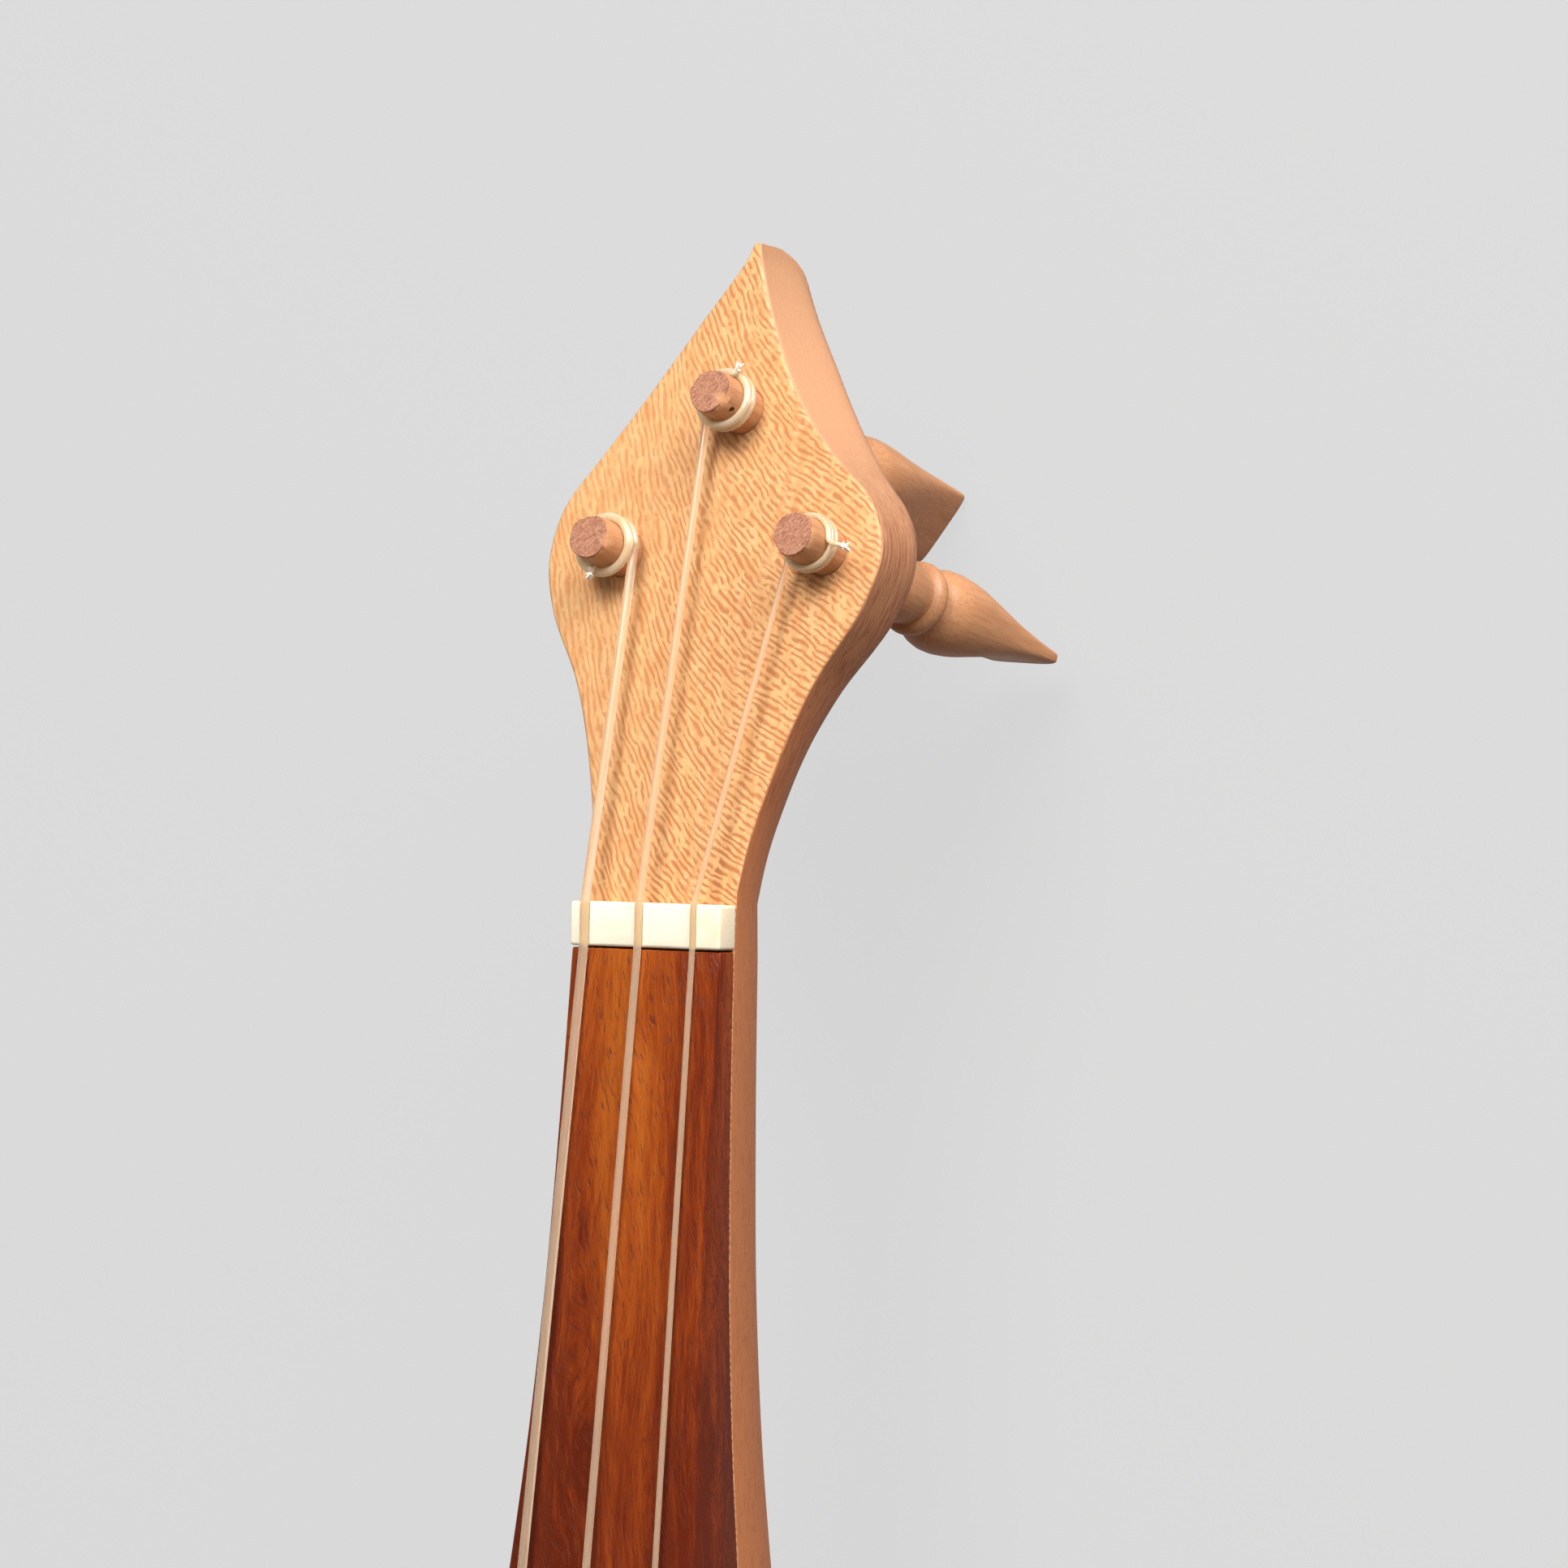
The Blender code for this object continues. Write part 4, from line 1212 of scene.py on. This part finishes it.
@dataclass
class Nut:
    """Polished bone nut with three round-bottomed slots."""

    datum: Datum
    finishes: Finishes
    half_length: float = 3.5
    half_width: float = 14.5
    foot: float = 0.3
    top: float = 4.3

    def build(self) -> bpy.types.Object:
        """Shape the nut and file its slots."""
        d = self.datum
        nut = block("bone_nut", d.at(-self.half_width, -self.half_length, self.foot - 0.6),
                    d.at(self.half_width, self.half_length, self.top))
        ease(nut, 0.55, 4)
        spots = [d.at(line.nut_x, 0, self.top - 0.3 + line.size / 2) for line in STRINGS]
        cut(nut, slot_files(spots, 0.08))
        polish(nut, 40)
        return dress(nut, self.finishes.bone, "instrument", ("nut",))


@dataclass
class Bridge:
    """Arched bridge on two feet, thinner at its top."""

    datum: Datum
    finishes: Finishes
    y: float = -326.0
    foot: float = 5.0
    head: float = 3.0
    height: float = 37.2
    outline: tuple[tuple[float, float, bool], ...] = (
        (-26, 0.3, True), (-13, 0.3, True), (-10, 5, False), (-5, 9.5, False), (0, 11, False),
        (5, 9.5, False), (10, 5, False), (13, 0.3, True), (26, 0.3, True), (25, 6, False),
        (22.5, 16, False), (23, 31, False), (21, 34.6, False), (11, 36.5, False),
        (-0.8, 37.2, False), (-12.5, 36.5, False), (-22.5, 34.6, False), (-24, 31, False),
        (-22.5, 16, False), (-25, 6, False))

    def build(self) -> bpy.types.Object:
        """Saw the bridge, thin its top and notch it for the strings."""
        d = self.datum
        place = Matrix.Translation(d.at(0, self.y, 0)) @ Matrix.Rotation(math.pi / 2, 4, "X")
        bridge = sawn("maple_bridge", [rounded_outline(self.outline)], self.foot, 0.4, place)
        middle = d.at(0, self.y, 0)
        for corner in bridge.data.vertices:
            share = (corner.co.z - middle.z) / (self.height * MM)
            thin = 1 + (self.head / self.foot - 1) * share
            corner.co.y = middle.y + (corner.co.y - middle.y) * thin
        spots = [d.at(line.bridge_x, self.y, line.bridge_z + line.size / 2)
                 for line in STRINGS]
        cut(bridge, slot_files(spots, 0.12))
        polish(bridge, 35, flat_faces=True)
        return dress(bridge, self.finishes.maple, "instrument", ("bridge",))


@dataclass
class Tailpiece:
    """Tapered rosewood plate that holds the strings' knotted ends."""

    datum: Datum
    finishes: Finishes
    front: tuple[float, float, float] = (0.0, -358.0, 24.0)
    back: tuple[float, float, float] = (0.0, -424.0, 10.0)
    thick: float = 4.5
    hole_back: float = 9.0
    hole_spread: float = 0.72

    def frame(self) -> Matrix:
        """Frame on the plate's top, in working millimetres: origin at its front end."""
        along = (Vector(self.front) - Vector(self.back)).normalized()
        up = Vector((1, 0, 0)).cross(along)
        made = Matrix((Vector((1, 0, 0)), along, up)).transposed().to_4x4()
        made.translation = Vector(self.front)
        return made

    def up(self) -> Vector:
        """Direction out of the plate's top."""
        return self.frame().to_3x3() @ Vector((0, 0, 1))

    def hole(self, line: StringLine) -> Vector:
        """Middle of a string's hole on the plate's top, in working millimetres."""
        return self.frame() @ Vector((line.bridge_x * self.hole_spread, -self.hole_back, 0))

    def build(self) -> bpy.types.Object:
        """Saw the plate and drill it."""
        d = self.datum
        length = (Vector(self.front) - Vector(self.back)).length
        right = [(20.5, -2.5, False), (20.3, -12, False), (16.2, -32, False), (11.2, -52, False),
                 (8.5, -length + 3, False), (6.0, -length, False)]
        rim = right + [(-x, y, s) for x, y, s in reversed(right)]
        rim = [(17.5, 0.0, False)] + rim + [(-17.5, 0.0, False)]
        made = self.frame()
        place = (Matrix.Translation(d.origin) @ Matrix.Scale(MM, 4)
                 @ made @ Matrix.Translation((0, 0, -self.thick / 2)) @ Matrix.Scale(1 / MM, 4))
        plate = sawn("rosewood_tailpiece", [rounded_outline(rim)], self.thick, 0.8, place)
        up = self.up()
        drills = []
        for line in STRINGS:
            spot = self.hole(line)
            drills.append(rod("drill", d.at(*(spot - up * 8)), d.at(*(spot + up * 3)),
                              (line.size / 2 + 0.45) * MM, sides=24))
        cut(plate, drills)
        polish(plate, 35, flat_faces=True)
        return dress(plate, self.finishes.turned_rosewood, "instrument",
                     ("tailpiece",))


@dataclass
class TailEnd:
    """Saddle, end button and the gut loop between them and the tailpiece."""

    datum: Datum
    finishes: Finishes
    button_y: float = -434.8
    button_z: float = -8.0
    gut: float = 1.0
    profile: Table = ((0.01, 12.3), (2.6, 12.35), (4.4, 12.0), (5.8, 11.2), (6.5, 10.0),
                      (6.7, 8.7), (6.4, 7.5), (5.4, 6.4), (4.5, 5.4), (4.1, 4.2), (4.2, 2.8),
                      (5.1, 1.8), (5.3, 1.1), (5.0, 0.5), (2.7, -0.3), (2.7, -9.7),
                      (2.3, -9.8))

    def _saddle(self) -> bpy.types.Object:
        """Low rosewood rail at the edge of the bowl."""
        d = self.datum
        rail = block("rosewood_saddle", d.at(-11, -433.4, 0.05), d.at(11, -428.4, 3.4))
        ease(rail, 0.9, 4)
        polish(rail)
        return dress(rail, self.finishes.turned_rosewood, "instrument",
                     ("tail_saddle",))

    def _button(self) -> bpy.types.Object:
        """Turned end button."""
        place = (Matrix.Translation(self.datum.at(0, self.button_y, self.button_z))
                 @ Matrix.Rotation(math.pi / 2, 4, "X"))
        button = polish(turned("rosewood_end_button", self.profile, place), 50)
        return dress(button, self.finishes.turned_rosewood, "instrument",
                     ("end_button",))

    def _loop(self) -> bpy.types.Object:
        """Gut from the tailpiece over the saddle and round the button."""
        d = self.datum
        y_loop = self.button_y - 4.2
        right = [(4.2, -423.4, 7.4), (4.3, -426.5, 6.0), (4.5, -430.5, 4.6),
                 (4.6, -433.0, 4.1), (5.0, -435.6, 1.6), (5.4, -438.0, -3.0),
                 (5.4, y_loop, -7.0)]
        low = [(5.4 * math.cos(a), y_loop, self.button_z - 5.4 * math.sin(a))
               for a in (math.pi * k / 10 for k in range(1, 10))]
        corners = right + low + [(-x, y, z) for x, y, z in reversed(right)]
        path = rounded_path([d.at(*c) for c in corners], 1.2 * MM, 3)
        loop = polish(tube("gut_loop", path, self.gut * MM), 60)
        return dress(loop, self.finishes.gut, "instrument", ("tail_gut",))

    def build(self) -> None:
        """Build the three pieces."""
        self._saddle()
        self._button()
        self._loop()


# ---- pegs and strings ------------------------------------------------------------------
@dataclass(frozen=True)
class PegPlace:
    """Where a peg stands on the head face, how far it leans and how its wing is turned."""

    x: float
    along: float
    lean: float
    wing_turn: float
    turns: float
    tag_length: float
    pierced: float   # direction of the string hole, in degrees round the shaft


PEG_PLACES = {"left": PegPlace(-17.3, 56.8, 1.5, 30.0, 1.7, 0.6, 250.0),
              "middle": PegPlace(2.2, 80.1, 3.2, 59.4, 2.31, 0.4, -38.0),
              "right": PegPlace(22.1, 56.8, 2.1, -3.0, 2.49, 2.8, 250.0)}


@dataclass
class Peg:
    """A friction peg with its turns of string."""

    datum: Datum
    finishes: Finishes
    line: StringLine
    place: PegPlace
    front: float = 10.0
    front_radius: float = 3.65
    taper: float = 1 / 60
    string_exit: float = 3.4
    string_lift: float = 0.04
    bore_play: float = 0.07
    sides: int = 64

    @property
    def body(self) -> str:
        """Name of the body that carries this peg."""
        return f"peg_{self.line.name}_body"

    def radius(self, z: float) -> float:
        """Radius of the taper at height z above the head face."""
        return self.front_radius + (self.front - z) * self.taper

    def frame(self) -> Matrix:
        """Frame on the peg's axis in working millimetres, z out of the front."""
        spot = self.datum.head_mm(self.place.x, self.place.along, 0)
        return Matrix.Translation(spot) @ Matrix.Rotation(
            -self.datum.head_tilt - math.radians(self.place.lean), 4, "X")

    def at(self, x: float, y: float, z: float) -> Vector:
        """Point given on the peg's own axes, in metres of the row frame."""
        return self.datum.at(*(self.frame() @ Vector((x, y, z))))

    def on_shaft(self, turn: float, z: float) -> Vector:
        """Point of the string's middle line, `turn` radians on from where it comes off."""
        reach = self.radius(z) + self.line.size / 2 + self.string_lift
        a = (0.0 if self.line.side > 0 else math.pi) + turn
        return self.at(reach * math.cos(a), reach * math.sin(a), z)

    def bore(self) -> bpy.types.Object:
        """Tool that bores this peg's hole through the head."""
        low, high = -30.0, 8.0
        return rod("bore", self.at(0, 0, low), self.at(0, 0, high),
                   (self.radius(low) + self.bore_play) * MM,
                   (self.radius(high) + self.bore_play) * MM, 64)

    def _profile(self) -> list[tuple[float, float, float]]:
        """(half width, flatness, height) of each ring, from the front to the wing."""
        shaft = [(self.radius(z), 1.0, z) for z in np.linspace(9.93, -17, 22)]
        front = [(self.radius(10) - 0.08, 1.0, 10.0)]
        handle = ((4.9, 1, -17.25), (5.25, 1, -18.2), (5.35, 1, -19.6), (5.3, 1, -21.2),
                  (5.05, 1, -22.8), (4.8, 1, -23.9), (4.85, 1, -24.3), (5.6, 1, -24.7),
                  (6.05, 1, -25.3), (6.15, 1, -26.0), (6.0, 1, -26.7), (5.5, 1, -27.3),
                  (4.95, 1, -27.8), (4.75, 1, -28.3), (4.9, 1, -28.8), (5.6, 0.995, -29.6),
                  (6.3, 0.985, -30.7), (6.85, 0.97, -32.2),
                  (7.15, 0.945, -34.0), (7.25, 0.905, -36.3), (7.2, 0.84, -39.0),
                  (7.05, 0.75, -41.5), (6.93, 0.655, -44.0), (6.85, 0.55, -46.5),
                  (6.8, 0.45, -49.0), (6.8, 0.355, -52.0), (6.8, 0.27, -55.0),
                  (6.8, 0.215, -57.5), (6.8, 0.185, -59.2), (6.7, 0.165, -59.75),
                  (6.45, 0.145, -59.98))
        return front + shaft + [(float(a), float(b), float(c)) for a, b, c in handle]

    def _shaft(self) -> bpy.types.Object:
        """Turn the shaft and carve the wing."""
        rng = random.Random(len(self.line.name))
        turn = math.radians(self.place.wing_turn)
        dents = [(rng.uniform(0, 2 * math.pi), rng.uniform(0.15, 0.6), rng.uniform(0.2, 1.0))
                 for _ in range(9)]
        nicks = [rng.uniform(0, 0.35) + sum(
            deep * math.exp(-(math.remainder(2 * math.pi * k / self.sides - spot,
                                             2 * math.pi) / wide) ** 2)
            for spot, wide, deep in dents) * 0.7 for k in range(self.sides)]
        rings = []
        for wide, flatness, z in self._profile():
            power = 2 + 3.0 * (1 - flatness)
            ring = []
            for k in range(self.sides):
                a = 2 * math.pi * k / self.sides
                c, s = math.cos(a), math.sin(a)
                u = wide * math.copysign(abs(c) ** (2 / power), c)
                v = wide * flatness * math.copysign(abs(s) ** (2 / power), s)
                torn = float(np.clip((z - 9.0) / 0.9, 0, 1)) * nicks[k]
                pull = 1 - torn * 0.09
                ring.append(self.at((u * math.cos(turn) - v * math.sin(turn)) * pull,
                                    (u * math.sin(turn) + v * math.cos(turn)) * pull,
                                    z - torn * 0.32))
            rings.append(ring)
        shaft = loft("pearwood_peg_" + self.line.name, rings)
        reach = self.radius(5) + 1
        lead = math.radians(self.place.pierced)
        side = Vector((math.cos(lead), math.sin(lead), 0)) * reach
        drill = rod("drill", self.at(side.x, side.y, 6.9), self.at(-side.x, -side.y, 6.9),
                    0.55 * MM, sides=20)
        cut(shaft, [drill])
        axis = self.frame().to_3x3() @ Vector((0, 0, 1))
        finish = PegWood(axis, self.at(0, 0, self.front), 3.7 * len(self.line.name)).material()
        polish(shaft, 35)
        return dress(shaft, finish, self.body, ("peg_" + self.line.name,))

    def _coil_path(self) -> list[Vector]:
        """Helix from where the string comes off, forward to the tag end."""
        size, place = self.line.size, self.place
        steps = int(place.turns * 40)
        return [self.on_shaft(self.line.side * t * place.turns * 2 * math.pi,
                              self.string_exit + t * place.turns * size * 1.04)
                for t in (k / steps for k in range(steps + 1))]

    def _coil(self) -> None:
        """Wind the string round the shaft and leave its frayed tag."""
        size = self.line.size * MM
        path = self._coil_path()
        run = (path[-1] - path[-2]).normalized()
        out = (path[-1] - self.at(0, 0, self.string_exit + self.place.turns
                                  * self.line.size)).normalized()
        tag = [path[-1] + (run * 0.45 * t + out * 0.9 * t * t) * self.place.tag_length * MM
               for t in (0.33, 0.66, 1.0)]
        coil = tube("string_turns_" + self.line.name, path + tag,
                    [size / 2] * (len(path) + 1) + [size * 0.46, size * 0.42], 16)
        polish(coil, 60)
        dress(coil, self.finishes.wound, self.body, ("winding_" + self.line.name,))
        rng = random.Random(7 + len(self.line.name))
        hairs = []
        heading = (tag[-1] - tag[-2]).normalized()
        for _ in range(11):
            drift = Vector([rng.uniform(-0.55, 0.55) for _ in range(3)])
            tip = (heading + drift).normalized()
            base = tag[-1] - heading * 0.2 * MM + drift * 0.25 * size
            long = rng.uniform(0.9, 2.0) * MM
            hairs.append(tube("hair", [base, base + heading * long * 0.4 + tip * long * 0.2,
                                       base + tip * long], [0.24 * MM, 0.19 * MM, 0.07 * MM], 6))
        fray = polish(join("string_fray_" + self.line.name, hairs), 60)
        dress(fray, self.finishes.frayed, self.body)

    def build(self) -> None:
        """Build the shaft and the coil."""
        self._shaft()
        self._coil()


@dataclass
class PlayedString:
    """One string from its peg over nut and bridge to its knot under the tailpiece."""

    datum: Datum
    finishes: Finishes
    peg: Peg
    tailpiece: Tailpiece
    bridge_y: float = -326.0

    def _path(self) -> list[Vector]:
        """Middle line of the string."""
        line, d = self.peg.line, self.datum
        wrap = [self.peg.on_shaft(line.side * a, self.peg.string_exit)
                for a in (0.35, 0.25, 0.15, 0.05)]
        nut_z = 4.1 + line.size / 2
        up = self.tailpiece.up()
        hole = self.tailpiece.hole(line)
        corners = [d.at(line.nut_x, 3.4, nut_z - 0.1), d.at(line.nut_x, 2.0, nut_z),
                   d.at(line.nut_x, -3.4, nut_z),
                   d.at(line.bridge_x, self.bridge_y + 1.0, line.bridge_z + line.size / 2),
                   d.at(line.bridge_x, self.bridge_y - 1.0, line.bridge_z + line.size / 2 - 0.1),
                   d.at(*(hole + up * (line.size / 2 + 0.5) + Vector((0, 1.8, 0.35)))),
                   d.at(*(hole + up * 0.1)), d.at(*(hole - up * 5.6))]
        joined = rounded_path(corners, 1.4 * MM, 6)
        return wrap + joined

    def _knot(self) -> bpy.types.Object:
        """Overhand knot that stops the string under the tailpiece."""
        line, d = self.peg.line, self.datum
        up = self.tailpiece.up()
        centre = self.tailpiece.hole(line) - up * (6.2 + line.size / 2)
        loop = []
        for k in range(61):
            a = 2 * math.pi * k / 60
            wide = (0.62 + 0.30 * math.cos(3 * a)) * (line.size * 0.75 + 0.25)
            loop.append(d.at(*(centre + Vector((wide * math.cos(2 * a), wide * math.sin(2 * a),
                                                0.42 * math.sin(3 * a) * (line.size + 0.3))))))
        knot = polish(tube("knot_of_" + line.name, loop, line.size * MM / 2, 12), 60)
        return dress(knot, self.finishes.string, "instrument", ("knot_" + line.name,))

    def build(self) -> None:
        """Build the string and its knot."""
        line = self.peg.line
        cord = polish(tube(f"{line.name}_string", self._path(), line.size * MM / 2, 16), 60)
        dress(cord, self.finishes.string, "instrument", ("string_" + line.name,))
        self._knot()


# ---- studio ----------------------------------------------------------------------------
@dataclass
class Studio:
    """Pale floor, soft light and the camera."""

    datum: Datum
    eye: tuple[float, float, float] = (542.1, 18.8, 747.6)
    right: tuple[float, float, float] = (0.82133, 0.02169, -0.57004)
    down: tuple[float, float, float] = (0.01548, -0.99976, -0.01574)
    ahead: tuple[float, float, float] = (-0.57024, 0.00410, -0.82147)
    lens: float = 135.0
    backdrop: float = 0.716
    fill: Colour = (0.225, 0.218, 0.21)
    floor_bounce: Colour = (0.175, 0.105, 0.075)
    lamps: tuple[tuple[str, tuple[float, float, float], float, float], ...] = (
        ("key", (0.20, 1.08, 1.33), 0.8, 35.0), ("side", (1.00, 1.05, 0.50), 0.9, 21.0),
        ("kick", (0.45, 0.80, -0.05), 0.5, 5.0))
    gloss_share: float = 0.35

    def _camera(self) -> None:
        """Long-lens camera over the treble side of the head."""
        data = bpy.data.cameras.new("camera")
        data.lens, data.sensor_width = self.lens, 36.0
        data.clip_start, data.clip_end = 0.01, 20.0
        camera = bpy.data.objects.new("camera", data)
        bpy.context.scene.collection.objects.link(camera)
        turn = Matrix((Vector(self.right), -Vector(self.down), -Vector(self.ahead))).transposed()
        camera.matrix_world = Matrix.Translation(self.datum.at(*self.eye)) @ turn.to_4x4()
        bpy.context.scene.camera = camera

    def _light(self, g: Graph, seen: float, felt: Colour, mirrored: float = 0.0) -> Socket:
        """Light that looks one way and lights the instrument another.

        Args:
            g: The material or world.
            seen: Grey that the camera sees, directly or through a string.
            felt: Light that reaches the pieces.
            mirrored: How far reflections show what the camera sees.

        Returns:
            The colour of the light.
        """
        paths = [g.node("ShaderNodeLightPath", output=name)
                 for name in ("Is Camera Ray", "Is Transmission Ray", "Is Glossy Ray")]
        shown = paths[0].most(paths[1]).most(paths[2] * mirrored)
        return g.blend(shown, felt, (seen, seen, seen))

    def _floor(self) -> None:
        """Wide pale floor that glows a little, so that its shadows stay faint."""
        put_down()
        bpy.ops.mesh.primitive_plane_add(size=12.0, location=(0, 0, -0.0006))
        floor = settle(christen("floor"))
        g = Graph("pale_floor")
        glow = g.node("ShaderNodeEmission", inputs={
            "Color": self._light(g, self.backdrop * 0.895, self.floor_bounce,
                                 self.gloss_share)})
        matt = g.node("ShaderNodeBsdfDiffuse", inputs={"Color": (0.05, 0.05, 0.05, 1.0)})
        both = g.node("ShaderNodeAddShader", inputs={0: glow, 1: matt})
        g.node("ShaderNodeOutputMaterial", inputs={0: both})
        floor.data.materials.append(g.material)

    def _world(self) -> None:
        """Even grey all round."""
        world = bpy.data.worlds.new("soft_room")
        world.use_nodes = True
        g = Graph("soft_room")
        bpy.data.materials.remove(g.material)
        g.tree = world.node_tree
        g.tree.nodes.clear()
        back = g.node("ShaderNodeBackground", inputs={
            "Color": self._light(g, self.backdrop, self.fill)})
        g.node("ShaderNodeOutputWorld", inputs={0: back})
        bpy.context.scene.world = world

    def _softbox(self, name: str, spot: Vector, aim: Vector, size: float,
                 power: float) -> None:
        """Square soft light at `spot`, turned to `aim`."""
        data = bpy.data.lights.new(name, "AREA")
        data.shape, data.size, data.energy = "SQUARE", size, power
        lamp = bpy.data.objects.new(name, data)
        bpy.context.scene.collection.objects.link(lamp)
        lamp.location = spot
        lamp.visible_camera = False
        lamp.rotation_mode = "QUATERNION"
        lamp.rotation_quaternion = (aim - spot).to_track_quat("-Z", "Y")

    def build(self) -> None:
        """Set the stage."""
        scene = bpy.context.scene
        scene.view_settings.view_transform = "Standard"
        self._camera()
        self._floor()
        self._world()
        aim = self.datum.at(0, 0, 0)
        for name, offset, size, power in self.lamps:
            self._softbox(name, aim + Vector(offset), aim, size, power)


def main() -> None:
    """Build every sub-assembly in order."""
    logging.basicConfig(level=logging.INFO, format="%(name)s: %(message)s")
    datum = Datum.read()
    finishes = Finishes.mix()
    pegs = [Peg(datum, finishes, line, PEG_PLACES[line.name]) for line in STRINGS]
    tailpiece = Tailpiece(datum, finishes)
    CarvedBody(datum, finishes).build(pegs)
    Soundboard(datum, finishes).build()
    InnerWork(finishes).build()
    Fingerboard(datum, finishes).build()
    Nut(datum, finishes).build()
    Bridge(datum, finishes).build()
    tailpiece.build()
    TailEnd(datum, finishes).build()
    for peg in pegs:
        peg.build()
        PlayedString(datum, finishes, peg, tailpiece).build()
    Studio(datum).build()


if __name__ == "__main__":
    main()
